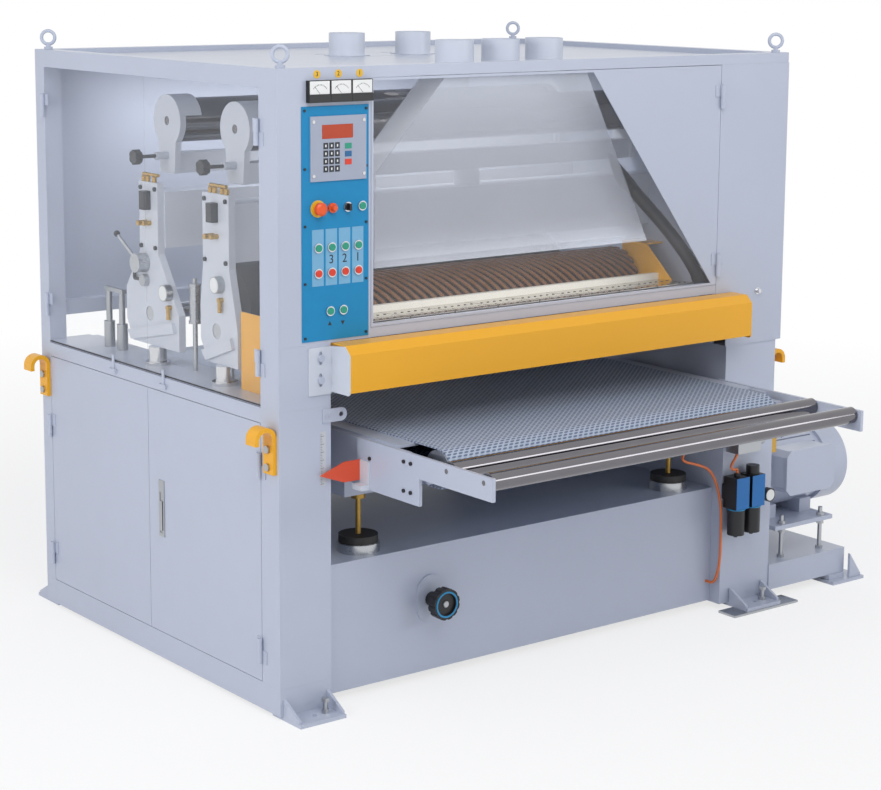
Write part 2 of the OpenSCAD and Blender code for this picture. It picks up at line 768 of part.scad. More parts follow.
module bezel() {
    difference() {
        cylinder(h = bezel_h, r = button_r + bezel_t);
        translate([0, 0, -1]) cylinder(h = bezel_h + 2, r = button_r + play);
    }
}
module push_button(x, z, hue) color(hue) {
    at_switch(x, z) translate([0, 0, -stem_in]) cylinder(h = stem_in + cap_h, r = button_r);
}

// Moving switches
module e_stop_button() color(red) {
    at_switch(switches_x[0], row_z[3]) {
        translate([0, 0, -stem_in]) cylinder(h = stem_in + bezel_h + button_travel + 4, r = button_r);
        translate([0, 0, bezel_h + button_travel + 1]) cylinder(h = 12, r = stop_r);
        translate([0, 0, bezel_h + button_travel + 13]) cylinder(h = 5, r1 = stop_r, r2 = stop_r - 6);
    }
}
module selector_knob() color(dark) {
    at_switch(switches_x[2], row_z[3]) {
        translate([0, 0, -stem_in]) cylinder(h = stem_in + 10, r = button_r);
        translate([-4, -button_r + 0.5, 9]) cube([8, 2 * button_r - 1, 12]);
    }
}
module green_button() push_button(switches_x[3], row_z[3], green);
module start_button_feed() push_button(stations_x[0], row_z[2], green);
module start_button_3() push_button(stations_x[1], row_z[2], green);
module start_button_2() push_button(stations_x[2], row_z[2], green);
module start_button_1() push_button(stations_x[3], row_z[2], green);
module stop_button_feed() push_button(stations_x[0], row_z[1], red);
module stop_button_3() push_button(stations_x[1], row_z[1], red);
module stop_button_2() push_button(stations_x[2], row_z[1], red);
module stop_button_1() push_button(stations_x[3], row_z[1], red);
module table_up_button() push_button(table_x[0], row_z[0], green);
module table_down_button() push_button(table_x[1], row_z[0], green);

// Round dust outlets on the roof
module dust_spigots() color(paint) {
    for (x = front_spigots) spigot(x, front_spigot_y);
    for (x = rear_spigots) spigot(x, rear_spigot_y);
}
module spigot(x, y) {
    difference() {
        union() {
            rod_z(roof_z + weld, roof_z + spigot_h, x, y, spigot_r);
            rod_z(roof_z + weld, roof_z + weld + sheet_t, x, y, spigot_r + spigot_flange);
        }
        rod_z(roof_z - 1, roof_z + spigot_h + 1, x, y, spigot_r - spigot_t);
    }
}

// Lifting eyebolts on the four top corners
module lifting_eyebolts() color(paint) {
    inset = 35;
    for (x = [x_left + inset, x_right - inset], y = [y_front + inset, y_back - inset])
        translate([x, y, body_h + weld]) {
            cylinder(h = 8, r = 15);
            cylinder(h = 20, r = 8);
            translate([0, 0, 40]) rotate([90, 0, -38]) rotate_extrude() translate([23, 0]) circle(r = 6);
        }
}

// Clear funnel hood of separate plates in front of the front head
function hood_right(z) = hood_mid + hood_low + (hood_top - hood_low) * (z - hood_z0) / (hood_z1 - hood_z0);
function hood_left(z) = hood_mid - (z < hood_knee_z ? hood_low + (hood_knee - hood_low)
    * (z - hood_z0) / (hood_knee_z - hood_z0)
    : hood_knee + (hood_top - hood_knee) * (z - hood_knee_z) / (hood_z1 - hood_knee_z));
module dust_hood() color("#dfe4ea", 0.5) {
    hood_levels = [hood_z0, hood_knee_z, hood_z1];
    outline = concat([for (z = hood_levels) [hood_right(z), z]],
        [for (i = [2 : -1 : 0]) [hood_left(hood_levels[i]), hood_levels[i]]]);
    for (y = [hood_y0, hood_y1 - hood_t]) slab_y(y, y + hood_t) polygon(outline);
    slab_y(hood_y0 + hood_t + weld, hood_y1 - hood_t - weld) hood_wall(hood_z0, hood_z1, 1);
    slab_y(hood_y0 + hood_t + weld, hood_y1 - hood_t - weld) hood_wall(hood_z0, hood_knee_z - weld, -1);
    slab_y(hood_y0 + hood_t + weld, hood_y1 - hood_t - weld) hood_wall(hood_knee_z, hood_z1, -1);
}
module hood_wall(z0, z1, side) {
    a = side > 0 ? hood_right(z0) : hood_left(z0);
    b = side > 0 ? hood_right(z1) : hood_left(z1);
    polygon([[a, z0], [b, z1], [b - side * hood_t, z1], [a - side * hood_t, z0]]);
}

// Yellow cheeks beside the front drum and the yellow end panel
cheek_t = 6;
cheek_z0 = work_z + 8;
cheek_z1 = drum_z + drum_r + 25;
cheek_y0 = y_front + 152;
cheek_cut = 174;
module drum_guards() color(yellow) {
    for (x = [drum_x0 - 15 - cheek_t, drum_x1 + 15]) difference() {
        slab_x(x, x + cheek_t) polygon([[cheek_y0, cheek_z0 + 70], [cheek_y0 + 70, cheek_z0],
            [head_front - 20, cheek_z0], [head_front - 20, cheek_z1], [cheek_y0 + cheek_cut, cheek_z1],
            [cheek_y0, cheek_z1 - 150]]);
        rod_x(x - 1, x + cheek_t + 1, head_front, drum_z, drum_r - 25);
    }
    ledge_y = cheek_y0 + cheek_cut + 2;
    box([drum_x1 + 15 + cheek_t + weld, ledge_y, cheek_z1 - cheek_t],
        [wall_x0 - weld, head_front - 20, cheek_z1]);
    box([end_x0 + 8, y_front + corner_d + 5, floor_z + weld],
        [end_x0 + 13, head_front - 132, floor_z + 247]);
}

// Segmented pressure shoes on their rail
module pressure_shoes() color(steel) {
    y0 = y_front + 255;
    rail_z = work_z + 180;
    x0 = drum_x0 - 15 + weld;
    x1 = drum_x1 + 15 - weld;
    count = 8;
    step = (x1 - x0) / count;
    box([x0, y0, rail_z], [x1, y0 + 20, rail_z + 26]);
    for (i = [0 : count - 1]) {
        xa = x0 + i * step + 2;
        difference() {
            slab_x(xa, xa + step - 4) polygon([[y_front + 72, rail_z + 16], [y0 - weld, rail_z + 4],
                [y0 - weld, work_z + 44], [y0 + 26, work_z + 10], [y0 + 20, work_z + 7],
                [y0 - weld - 6, work_z + 42], [y0 - weld - 6, rail_z - 2], [y_front + 72, rail_z + 10]]);
            for (k = [0.2, 0.5, 0.8]) rod_z(rail_z - 20, rail_z + 30, xa + k * step, y_front + 130, 5);
        }
    }
}

// End plates, beams and support columns of the two heads
module head_frames() color(paint) {
    head_frame(head_front, 78, 125, 96);
    head_frame(head_rear, 60, 188, 154);
}
module head_frame(y, top, low_front, low_back) {
    difference() {
        slab_x(end_x0, end_x1) polygon([[y - low_front, end_z0], [y - low_front, end_z0 + 120],
            [y - top, beam_z - beam_h - 20], [y - top, beam_z + 30], [y + top, beam_z + 30],
            [y + top, beam_z - beam_h - 20], [y + low_back, end_z0 + 180], [y + low_back, end_z0 + 70],
            [y + low_back - 40, end_z0]]);
        rod_x(end_x0 - 1, end_x1 + 1, y, drum_z, shaft_r + run_fit);
        if (y == head_rear) rod_x(end_x0 - 1, end_x1 + 1, lever_y, lever_z, lever_pin_r + run_fit);
    }
    difference() {
        box([end_x1 + weld, y - beam_w / 2, beam_z - beam_h], [wall_x0 - weld, y + beam_w / 2, beam_z]);
        box([end_x1, y - beam_w / 2 + 8, beam_z - beam_h + 8],
            [wall_x0, y + beam_w / 2 - 8, beam_z - 40]);
        rod_z(beam_z - 41, beam_z + 1, x_mid, y, pivot_r + run_fit);
    }
    rod_z(floor_z + weld, end_z0 - weld, end_x0 + 5, y - 40, support_r);
    rod_z(floor_z + weld, floor_z + 12, end_x0 + 5, y - 40, support_r + 12);
    slab_x(end_x0 - weld - 12, end_x0 - weld) polygon([[y + low_back - 44, end_z0 + 4],
        [y + low_back - 20, end_z0 + 34], [y - low_front + 30, end_z0 + 96], [y - low_front + 16, end_z0 + 62]]);
}

// Steering yoke that carries an idler roller
module idler_yoke(y) color(paint) {
    difference() {
        box([yoke_x0 + yoke_t, y - yoke_w / 2, yoke_z0], [yoke_x1 - yoke_t, y + yoke_w / 2, yoke_z0 + yoke_h]);
        box([yoke_x0 + yoke_t - 1, y - yoke_w / 2 + 6, yoke_z0 + 6],
            [yoke_x1 - yoke_t + 1, y + yoke_w / 2 - 6, yoke_z0 + yoke_h - 6]);
    }
    rod_z(beam_z - 40, beam_z + play, x_mid, y, pivot_r);
    rod_z(beam_z + play, yoke_z0, x_mid, y, 45);
    for (x = [yoke_x0, yoke_x1 - yoke_t]) difference() {
        slab_x(x, x + yoke_t) union() {
            translate([y, idler_z]) circle(r = idler_r + 14);
            polygon([[y - 46, yoke_z0], [y + 46, yoke_z0], [y + 62, idler_z], [y - 62, idler_z]]);
        }
        rod_x(x - 1, x + yoke_t + 1, y, idler_z, idler_shaft_r + run_fit);
        rod_x(x - 1, x + yoke_t + 1, y, knob_z, 6 + run_fit);
    }
    difference() {
        slab_x(yoke_x0 - 45, yoke_x0) translate([y, knob_z]) circle(r = 13);
        rod_x(yoke_x0 - 46, yoke_x0 + 1, y, knob_z, 6 + run_fit);
    }
    slab_x(yoke_x0 + yoke_t, yoke_x0 + yoke_t + 62) difference() {
        translate([y, idler_z]) circle(r = idler_r + 14);
        translate([y, idler_z]) circle(r = idler_r + 9);
        translate([y - idler_r - 20, idler_z - idler_r - 20]) square([2 * idler_r + 40, idler_r + 40]);
    }
}
module idler_yoke_front() idler_yoke(head_front);
module idler_yoke_rear() idler_yoke(head_rear);

// Chrome idler roller with its shaft
module idler_roller(y) color(chrome) {
    rod_x(yoke_x0 + yoke_t + 3, yoke_x1 - yoke_t - 3, y, idler_z, idler_r);
    rod_x(yoke_x0 + 2, yoke_x1 - 2, y, idler_z, idler_shaft_r);
}
module idler_roller_front() idler_roller(head_front);
module idler_roller_rear() idler_roller(head_rear);

// Black tracking knob with its spindle
module tracking_knob(y) color(dark) {
    x0 = x_left + 20;
    difference() {
        rod_x(x0, x0 + 24, y, knob_z, 25);
        for (k = [0 : 5]) rod_x(x0 - 1, x0 + 25, y + 28 * cos(60 * k), knob_z + 28 * sin(60 * k), 7);
    }
    rod_x(x0 + 24, yoke_x0 + yoke_t - 2, y, knob_z, 6);
}
module tracking_knob_front() tracking_knob(head_front);
module tracking_knob_rear() tracking_knob(head_rear);

// Clamp hub and lever that lock the rear head's support
module clamp_lever() color(steel) {
    hub_x = end_x0 - 42;
    rod_x(end_x0 - play - 1, end_x1 - 1, lever_y, lever_z, lever_pin_r);
    rod_x(hub_x, end_x0 - play, lever_y, lever_z, 32);
    translate([hub_x + 16, lever_y, lever_z]) rotate([-60, 0, 0]) cylinder(h = 170, r = 6);
    translate([hub_x + 16, lever_y, lever_z]) rotate([-60, 0, 0]) translate([0, 0, 165]) sphere(r = 11);
}

// Gauges, valves and brass fittings on the head end plates, and the twin guide posts
module head_fittings() color(brass) {
    fittings_on(head_front, -26, beam_z - 257);
    fittings_on(head_rear, -127, beam_z - 324);
    for (y = [head_rear + 260, head_rear + 350]) {
        rod_z(floor_z + weld, floor_z + 197, end_x0 + 40, y, 11);
        rod_z(floor_z + weld, floor_z + 90, end_x0 + 40, y, 19);
    }
    box([end_x0 + 31, head_rear + 242, floor_z + 197 + weld], [end_x0 + 49, head_rear + 368, floor_z + 211]);
    lift_cylinder(end_x0 + 48, head_rear - 210);
    clamp_elbow(head_rear + 18, beam_z - 299);
}
module fittings_on(y, gauge_y, gauge_z) {
    face = end_x0 - weld;
    rod_x(face - 24, face, y + gauge_y, gauge_z, 28);
    rod_x(face - 16, face, y + gauge_y - 10, gauge_z - 48, 8);
    rod_z(gauge_z - 88, gauge_z - 48, face - 10, y + gauge_y - 10, 7);
    box([face - 26, y - 16, beam_z - 60], [face, y + 16, beam_z + 2]);
    rod_x(face - 34, face, y + 14, beam_z - 105, 9);
    rod_x(face - 28, face, y - 12, beam_z - 105, 8);
    for (dy = [-50, -22, 20, 46]) if (abs(dy) < 48 || y == head_front)
        rod_z(beam_z + 30 + weld, beam_z + 48, end_x0 + 12, y + dy, 8);
    rod_y(y - 48, y + 48, end_x0 + 12, beam_z + 48 + weld + 6, 6);
}

// Upright air cylinder between the heads, on its post
module lift_cylinder(x, y) {
    rod_z(floor_z + weld, floor_z + 160, x, y, 8);
    rod_z(floor_z + 158, floor_z + 290, x, y, 18);
    for (z = [158, 281]) rod_z(floor_z + z, floor_z + z + 9, x, y, 21);
    rod_z(floor_z + 290, floor_z + 307, x, y, 7);
}

// Small clamp hub with its bent handle
module clamp_elbow(y, z) {
    face = end_x0 - weld;
    rod_x(face - 18, face, y, z, 20);
    rod_y(y + 20 + weld, y + 62, face - 10, z, 6);
    rod_z(z, z + 26, face - 10, y + 62, 6);
}

// Yellow transport hooks with two bolts each
module transport_hooks() color(yellow) {
    for (y = [y_front + 12, y_back - 8 - hook_w]) hook(x_left - weld, y, -1, hook_z);
    for (y = [y_front + col_inset + 20, y_back - col_inset - 20 - hook_w]) hook(col_x1 + weld, y, 1, hook_z);
}
module hook(x, y, side, z1) {
    r = 38;
    t = 14;
    slab_y(y, y + hook_w) {
        difference() {
            translate([x + side * r, z1]) circle(r = r);
            translate([x + side * r, z1]) circle(r = r - t);
            translate([x - 2 * r, z1 - 2 * r]) square([4 * r, 2 * r]);
        }
        translate([side > 0 ? x : x - t, z1 - 112]) square([t, 112]);
        translate([side > 0 ? x + 2 * r - t : x - 2 * r, z1 - 16]) square([t, 16]);
    }
    for (z = [z1 - 90, z1 - 35])
        rod_x(side > 0 ? x + t : x - t - 8, side > 0 ? x + t + 8 : x - t, y + hook_w / 2, z, 12);
}

// Filter-regulator, valve block and bracket on the front column
module filter_regulator() color(dark) {
    face = y_front + col_inset - weld;
    box([reg_x - reg_w, face - 10, reg_z0 + 30], [reg_x + reg_pitch + reg_w, face, reg_z1 - 30]);
    for (x = [reg_x, reg_x + reg_pitch]) {
        box([x - reg_w, reg_y - 32, reg_z0], [x + reg_w, face - 10 - weld, reg_z1]);
        rod_z(reg_bowl_z, reg_z0 - weld, x, reg_y, reg_bowl_r);
        rod_z(reg_bowl_z - 10, reg_bowl_z, x, reg_y, 7);
    }
    rod_z(reg_z1 + weld, reg_z1 + 32, reg_x + reg_pitch, reg_y, 24);
    rod_z(reg_z1 + weld, reg_z1 + 12, reg_x, reg_y, 12);
    rod_x(reg_x + reg_pitch + reg_w + weld, reg_x + gauge_off - 4, reg_y - 4, 412, 7);
    rod_y(reg_y - 18, reg_y + 4, reg_x + gauge_off, 412, 25);
    box([reg_x - 16, face - 62, valve_z0], [reg_x + 100, face, valve_z1]);
    rod_x(reg_x + 100 + weld, reg_x + 132, face - 31, (valve_z0 + valve_z1) / 2, 20);
    box([col_x1 + weld, y_front + col_inset + 8, 545], [col_x1 + 32, y_front + col_inset + 38, 668]);
}

// Head motors with feet, cowl, terminal box, shaft and pulley
module head_motors() color(paint) for (y = motors_y) translate([0, y, motor_z]) motor();
module motor() {
    x0 = motor_x0;
    x2 = motor_x0 + motor_l;
    difference() {
        rod_x(x0, x2 - 110, 0, 0, motor_r - 12);
        for (k = [0 : 7]) rotate([-45 + k * 13, 0, 0]) box([x0 + 50, -3, motor_r - 26], [x2 - 130, 3, motor_r]);
    }
    rod_x(x2 - 110 + weld, x2, 0, 0, motor_r);
    difference() {
        rod_x(x0 - 30, x0 - weld, 0, 0, 45);
        rod_x(x0 - 31, x0, 0, 0, motor_shaft_r + run_fit);
    }
    slab_y(-motor_r - 56, -motor_r + 40) terminal_outline(x0 + 60, 0);
    slab_y(-motor_r - 66, -motor_r - 56 - weld) terminal_outline(x0 + 60, 5);
    for (x = [60, 250]) box([x0 + x, -110, -motor_r - 12 + weld], [x0 + x + 60, 110, -motor_r + 40]);
}
module terminal_outline(x, grow) {
    cut = 22;
    x0 = x - grow;
    x1 = x + 250 + grow;
    z0 = -50 - grow;
    z1 = 110 + grow;
    polygon([[x0 + cut, z0], [x1 - cut, z0], [x1, z0 + cut], [x1, z1 - cut], [x1 - cut, z1], [x0 + cut, z1],
        [x0, z1 - cut], [x0, z0 + cut]]);
}
module pulley(x, r, bore) {
    difference() {
        union() {
            rod_x(x, x + pulley_w, 0, 0, r);
            for (dx = [-8, pulley_w]) rod_x(x + dx, x + dx + 8, 0, 0, r + vbelt_t + 4);
        }
        rod_x(x - 10, x + pulley_w + 10, 0, 0, bore);
    }
}

// Motor shaft with its pulley
module motor_pulley(y) color(steel) translate([0, y, motor_z]) {
    rod_x(pulley_x0 - 20, motor_x0 - 1, 0, 0, motor_shaft_r);
    pulley(pulley_x0, motor_pulley_r, motor_shaft_r - 2);
}
module motor_pulley_front() motor_pulley(motors_y[0]);
module motor_pulley_rear() motor_pulley(motors_y[1]);

// Drive belts from the motors up to the drums
module drive_belts() color(dark) {
    for (i = [0 : 1]) slab_x(pulley_x0 + 3, pulley_x0 + pulley_w - 3) difference() {
        belt_outline([motors_y[i], motor_z], [heads_y[i], drum_z], vbelt_t);
        belt_outline([motors_y[i], motor_z], [heads_y[i], drum_z], 2 * play);
    }
}
module belt_outline(a, b, grow) {
    ra = motor_pulley_r + grow;
    rb = drum_pulley_r + grow;
    along = atan2(b.y - a.y, b.x - a.x);
    lean = acos((ra - rb) / norm(b - a));
    u = [cos(along + lean), sin(along + lean)];
    v = [cos(along - lean), sin(along - lean)];
    inset = 0.2;
    translate(a) circle(r = ra);
    translate(b) circle(r = rb);
    polygon([a + (ra - inset) * u, b + (rb - inset) * u, b + (rb - inset) * v, a + (ra - inset) * v]);
}

// Routes of the black hose and the orange air tubes
hood_lean = atan2(hood_low - hood_top, hood_z1 - hood_z0);
hose_r = 23;
cuff_r = 25;
hose_z = hood_z0 + 250;
hose_from = [hood_right(hose_z), y_front + 190, hose_z];
hose_to = [wall_x0, y_front + 91, work_z + 129];
fall_a = 42;
fall_b = 58;
dir_a = [cos(fall_a), 0, -sin(fall_a)];
dir_b = [cos(fall_b), 0, -sin(fall_b)];
cuff_a = 95;
cuff_b = 105;
function sway(a, da, b, db, t) = (2 * t * t * t - 3 * t * t + 1) * a + (t * t * t - 2 * t * t + t) * da
    + (3 * t * t - 2 * t * t * t) * b + (t * t * t - t * t) * db;
hose_a = hose_from + (cuff_a + weld) * dir_a;
hose_b = hose_to - (cuff_b + weld) * dir_b;
hose_c = hose_a + 15 * dir_a;
hose_d = hose_b - 15 * dir_b;
hose_span = norm(hose_d - hose_c);
hose_route = concat([hose_a], [for (i = [0 : 8]) sway(hose_c, hose_span * dir_a, hose_d, hose_span * dir_b, i / 8)],
    [hose_b]);
air_route = [[col_x0 - weld, y_front + 65, 600], [x_right - 347, y_front + 65, 600],
    [x_right - 417, y_front + 55, 592], [x_right - 438, y_front + 45, 566],
    [x_right - 367, y_front + 30, 548], [x_right - 311, y_front + 15, 519],
    [x_right - 283, y_front - 3, 411], [x_right - 281, y_front - 5, 300],
    [x_right - 281, y_front - 5, 194], [x_right - 281, y_front + 5, 141],
    [x_right - 290, base_y0 - 40, 100], [x_right - 290, base_y0 - weld, 100]];
loop_route = [[reg_x - 6, reg_y, valve_z0 - weld], [reg_x - 6, reg_y, valve_z0 - 9],
    [reg_x - 20, reg_y - 2, valve_z0 - 22],
    [reg_x - 36, reg_y - 2, valve_z0 - 42], [reg_x - 24, reg_y, reg_z1 + 26],
    [reg_x, reg_y, reg_z1 + 28], [reg_x, reg_y, reg_z1 + 12 + weld]];
module hoses() color("#3a3540") {
    tube(hose_route, hose_r, 12);
    difference() {
        translate(hose_from - 80 * dir_a) rotate([0, 90 + fall_a, 0]) cylinder(h = 80 + cuff_a, r = cuff_r);
        translate(hose_from) rotate([0, -hood_lean, 0]) translate([weld - 300, -100, -300]) cube([300, 200, 600]);
    }
    difference() {
        translate(hose_to - cuff_b * dir_b) rotate([0, 90 + fall_b, 0]) cylinder(h = cuff_b + 60, r = cuff_r);
        translate(hose_to + [-weld, -100, -200]) cube([200, 200, 400]);
    }
    tube(air_route, 5, 8);
    tube(loop_route, 5, 8);
}

// Fixed screw jacks on the base with their boots
module screw_jacks() color(steel) {
    for (x = [x_mid - jack_x, x_mid + jack_x], y = [jack_y0, jack_y1]) difference() {
        union() {
            rod_z(base_h + weld, base_h + jack_h, x, y, jack_r);
            rod_z(base_h + jack_h, base_h + jack_h + boot_h, x, y, boot_r);
            rod_z(base_h - 90, base_h + jack_h, x, y, screw_r + 9);
        }
        rod_z(base_h - 91, base_h + jack_h + boot_h + 1, x, y, screw_r + run_fit);
    }
}

// Lifting screws that hang below the table
module lift_screws() color(brass) {
    for (x = [x_mid - jack_x, x_mid + jack_x], y = [jack_y0, jack_y1]) {
        rod_z(screw_low, beam_top - cross_h - weld, x, y, screw_r);
        rod_z(beam_top - cross_h - 22, beam_top - cross_h - weld, x, y, screw_r + 14);
    }
}

// Conveyor side plates, bed, cross beams and feed gear motor
module conveyor_frame() color(paint) {
    xi0 = tab_x0 + arm_t + weld;
    xi1 = tab_x1 - arm_t - weld;
    y0 = tdrum_y0 + 55;
    y1 = tdrum_y1 + 60;
    for (x = [xi0, xi1 - side_t]) difference() {
        box([x, y0, arm_z0], [x + side_t, y1, arm_z1 - 5]);
        rod_x(x - 1, x + side_t + 1, tdrum_y1, tdrum_z, tshaft_r + run_fit);
    }
    for (x = [xi0 + side_t + weld, xi1 - side_t - weld - 30]) difference() {
        box([x, tdrum_y0 - 30, tdrum_z - 34], [x + 30, y0 + 120, tdrum_z + 34]);
        rod_x(x - 1, x + 31, tdrum_y0, tdrum_z, tshaft_r + run_fit);
    }
    box([xi0 + side_t + weld, tdrum_y0 + 122, belt_z - belt_t - 0.5 - bed_t],
        [xi1 - side_t - weld, tdrum_y1 - 70, belt_z - belt_t - 0.5]);
    for (y = [jack_y0, jack_y1])
        box([tab_x0 + 20, y - cross_w / 2, beam_top - cross_h], [tab_x1 - 20, y + cross_w / 2, beam_top]);
    gear_y = tdrum_y1;
    difference() {
        box([tab_x1 + 5, gear_y - 55, tdrum_z - 55], [tab_x1 + 95, gear_y + 55, tdrum_z + 55]);
        rod_x(tab_x1 + 4, tab_x1 + 96, gear_y, tdrum_z, tshaft_r + run_fit);
    }
    rod_x(tab_x1 + 95 + weld, tab_x1 + 250, gear_y + 10, tdrum_z, 50);
    box([xi1 + weld, gear_y - 40, tdrum_z - 50], [tab_x1 + 5 - weld, gear_y - 24, tdrum_z + 40]);
    box([xi1 + weld, gear_y + 24, tdrum_z - 50], [tab_x1 + 5 - weld, gear_y + 40, tdrum_z + 40]);
    infeed_arms();
}

// Infeed arms bolted outside the conveyor, with the roller holes
module infeed_arms() {
    y0 = y_front - arm_reach;
    for (x = [tab_x0, tab_x1 - arm_t]) difference() {
        slab_x(x, x + arm_t) polygon([[y0, arm_z1 - arm_h], [y0, arm_z1], [y_front + arm_back, arm_z1],
            [y_front + arm_back, arm_z0], [y_front - arm_step, arm_z0], [y_front - arm_step, arm_z1 - arm_h]]);
        for (y = roller_y) rod_x(x - 1, x + arm_t + 1, y, roller_z, roller_pin_r + run_fit);
    }
}

// Endless feed belt round the two drums
module feed_belt() color("#7d8893") {
    slab_x(belt_x0, belt_x1) difference() {
        belt_loop(table_drum_r + play + belt_t);
        belt_loop(table_drum_r + play);
    }
}
module belt_loop(r) {
    translate([tdrum_y0, tdrum_z]) circle(r = r);
    translate([tdrum_y1, tdrum_z]) circle(r = r);
    translate([tdrum_y0, tdrum_z - r]) square([tdrum_y1 - tdrum_y0, 2 * r]);
}

// Driven and idler drums of the conveyor
module drive_drum() color(dark) {
    rod_x(belt_x0 - 5, belt_x1 + 5, tdrum_y1, tdrum_z, table_drum_r);
    rod_x(tab_x0 + arm_t + 2, tab_x1 + 90, tdrum_y1, tdrum_z, tshaft_r);
}
module idler_drum() color(steel) {
    rod_x(belt_x0 - 5, belt_x1 + 5, tdrum_y0, tdrum_z, table_drum_r);
    rod_x(tab_x0 + arm_t + side_t + 4, tab_x1 - arm_t - side_t - 4, tdrum_y0, tdrum_z, tshaft_r);
}

// Chrome infeed rollers between the arms
module infeed_roller(y) color(chrome) {
    rod_x(tab_x0 + arm_t + 3, tab_x1 - arm_t - 3, y, roller_z, roller_r);
    rod_x(tab_x0 + 1, tab_x1 - 1, y, roller_z, roller_pin_r);
}
module infeed_roller_outer() infeed_roller(roller_y[0]);
module infeed_roller_inner() infeed_roller(roller_y[1]);

// Orange pointer on its bracket at the cabinet-side arm
module height_pointer() color(red) {
    z = arm_z0 + 57;
    xa = tab_x0 - weld;
    slab_y(y_front - 14, y_front - 11) polygon([[x_left + 140, z], [xa - 65, z + 33], [xa, z + 33],
        [xa, z - 32], [xa - 65, z - 32]]);
    box([xa - 34, y_front - 60, z - 56], [xa, y_front - 14 - weld, z - 40]);
    box([xa - 6, y_front - 60, z - 40 + weld], [xa, y_front - 14 - weld, z + 33]);
}

// Handwheel with its shaft through the base
module handwheel() color(dark) {
    y0 = base_y0 - 8 - weld - wheel_out;
    difference() {
        rod_y(y0 - wheel_t, y0, wheel_x, wheel_z, wheel_r);
        rod_y(y0 - wheel_t - 1, y0 - wheel_t + 8, wheel_x, wheel_z, wheel_r - 16);
        for (k = [0 : 11]) rod_y(y0 - wheel_t - 1, y0 + 1, wheel_x + (wheel_r + 5) * cos(30 * k),
            wheel_z + (wheel_r + 5) * sin(30 * k), 8);
    }
    rod_y(y0, base_y0 - 8 - weld - 2, wheel_x, wheel_z, 24);
    rod_y(y0, base_y0 + plate_t + 40, wheel_x, wheel_z, wheel_shaft_r);
}

// Yellow guard bar with its slotted brackets
module guard_bar() color(yellow) {
    y0 = y_front - bar_reach;
    z1 = bar_z + bar_h;
    b = bar_bevel;
    t = bar_t;
    slab_x(bar_x0 + bar_t + weld, bar_x1 - bar_t - weld) polygon([[y0, bar_z], [y0, z1 - b], [y0 + b, z1],
        [y_front - 6, z1], [y_front - 6, z1 - t], [y0 + b + t / 2, z1 - t], [y0 + t, z1 - b - t / 2],
        [y0 + t, bar_z + t], [y0 + 30, bar_z + t], [y0 + 30, bar_z]]);
    bar_bracket(bar_x0, -1);
    bar_bracket(bar_x1, 1);
}
module bar_bracket(x, side) {
    difference() {
        box([x - bracket_w, y_front - play - bar_t, bar_z - 14], [x, y_front - play, bar_z + bar_h - 10]);
        for (z = slot_z) slab_y(y_front - 20, y_front + 5) bolt_slot(x - slot_off, z);
    }
    slab_x(side < 0 ? x : x - bar_t, side < 0 ? x + bar_t : x) polygon([[y_front - play, bar_z - 8],
        [y_front - play, bar_z + bar_h - 10], [y_front - bar_reach + bar_bevel, bar_z + bar_h - 2],
        [y_front - bar_reach, bar_z + bar_h - bar_bevel - 2], [y_front - bar_reach, bar_z - 2],
        [y_front - bar_reach + 6, bar_z - 8]]);
}
module bolt_slot(x, z) {
    r = bolt_r + play;
    for (dz = [-bar_travel, bar_travel]) translate([x, z + dz]) circle(r = r);
    translate([x - r, z - bar_travel]) square([2 * r, 2 * bar_travel]);
}
module bar_bolts(x) {
    for (z = slot_z) {
        rod_y(y_front - 2 * play - bar_t - 8, y_front - 2 * play - bar_t, x, z, 11);
        rod_y(y_front - 2 * play - bar_t - 1, y_front + sheet_t, x, z, bolt_r);
    }
}

// Front contact drum: spiral-grooved rubber roll on a steel shaft
module spiral_drum() color("#6e5a45") {
    groove = 9;
    step = 360 / drum_ribs;
    profile = [for (k = [0 : drum_ribs - 1], c = [[0, -groove], [0.12, 0], [0.56, 0], [0.68, -groove]])
        (drum_r + c[1]) * [cos((k + c[0]) * step), sin((k + c[0]) * step)]];
    translate([drum_x0, head_front, drum_z]) rotate([0, 90, 0])
        linear_extrude(roll_l, twist = -360 * roll_l / drum_lead, slices = 56) polygon(profile);
    drum_shaft(head_front, end_x0 + 2, drum_x0 - weld);
    drum_shaft(head_front, drum_x1 + weld, pulley_x0 + pulley_w + 6);
    translate([0, head_front, drum_z]) pulley(pulley_x0, drum_pulley_r, shaft_r - 2);
}
module drum_shaft(y, x0, x1) {
    rod_x(x0, x1, y, drum_z, shaft_r);
}

// Rear contact drum with a plain rubber cover
module contact_drum_rear() color(dark) {
    rod_x(drum_x0, drum_x1, head_rear, drum_z, drum_r);
    drum_shaft(head_rear, end_x0 + 2, pulley_x0 + pulley_w + 6);
    translate([0, head_rear, drum_z]) pulley(pulley_x0, drum_pulley_r, shaft_r - 2);
}

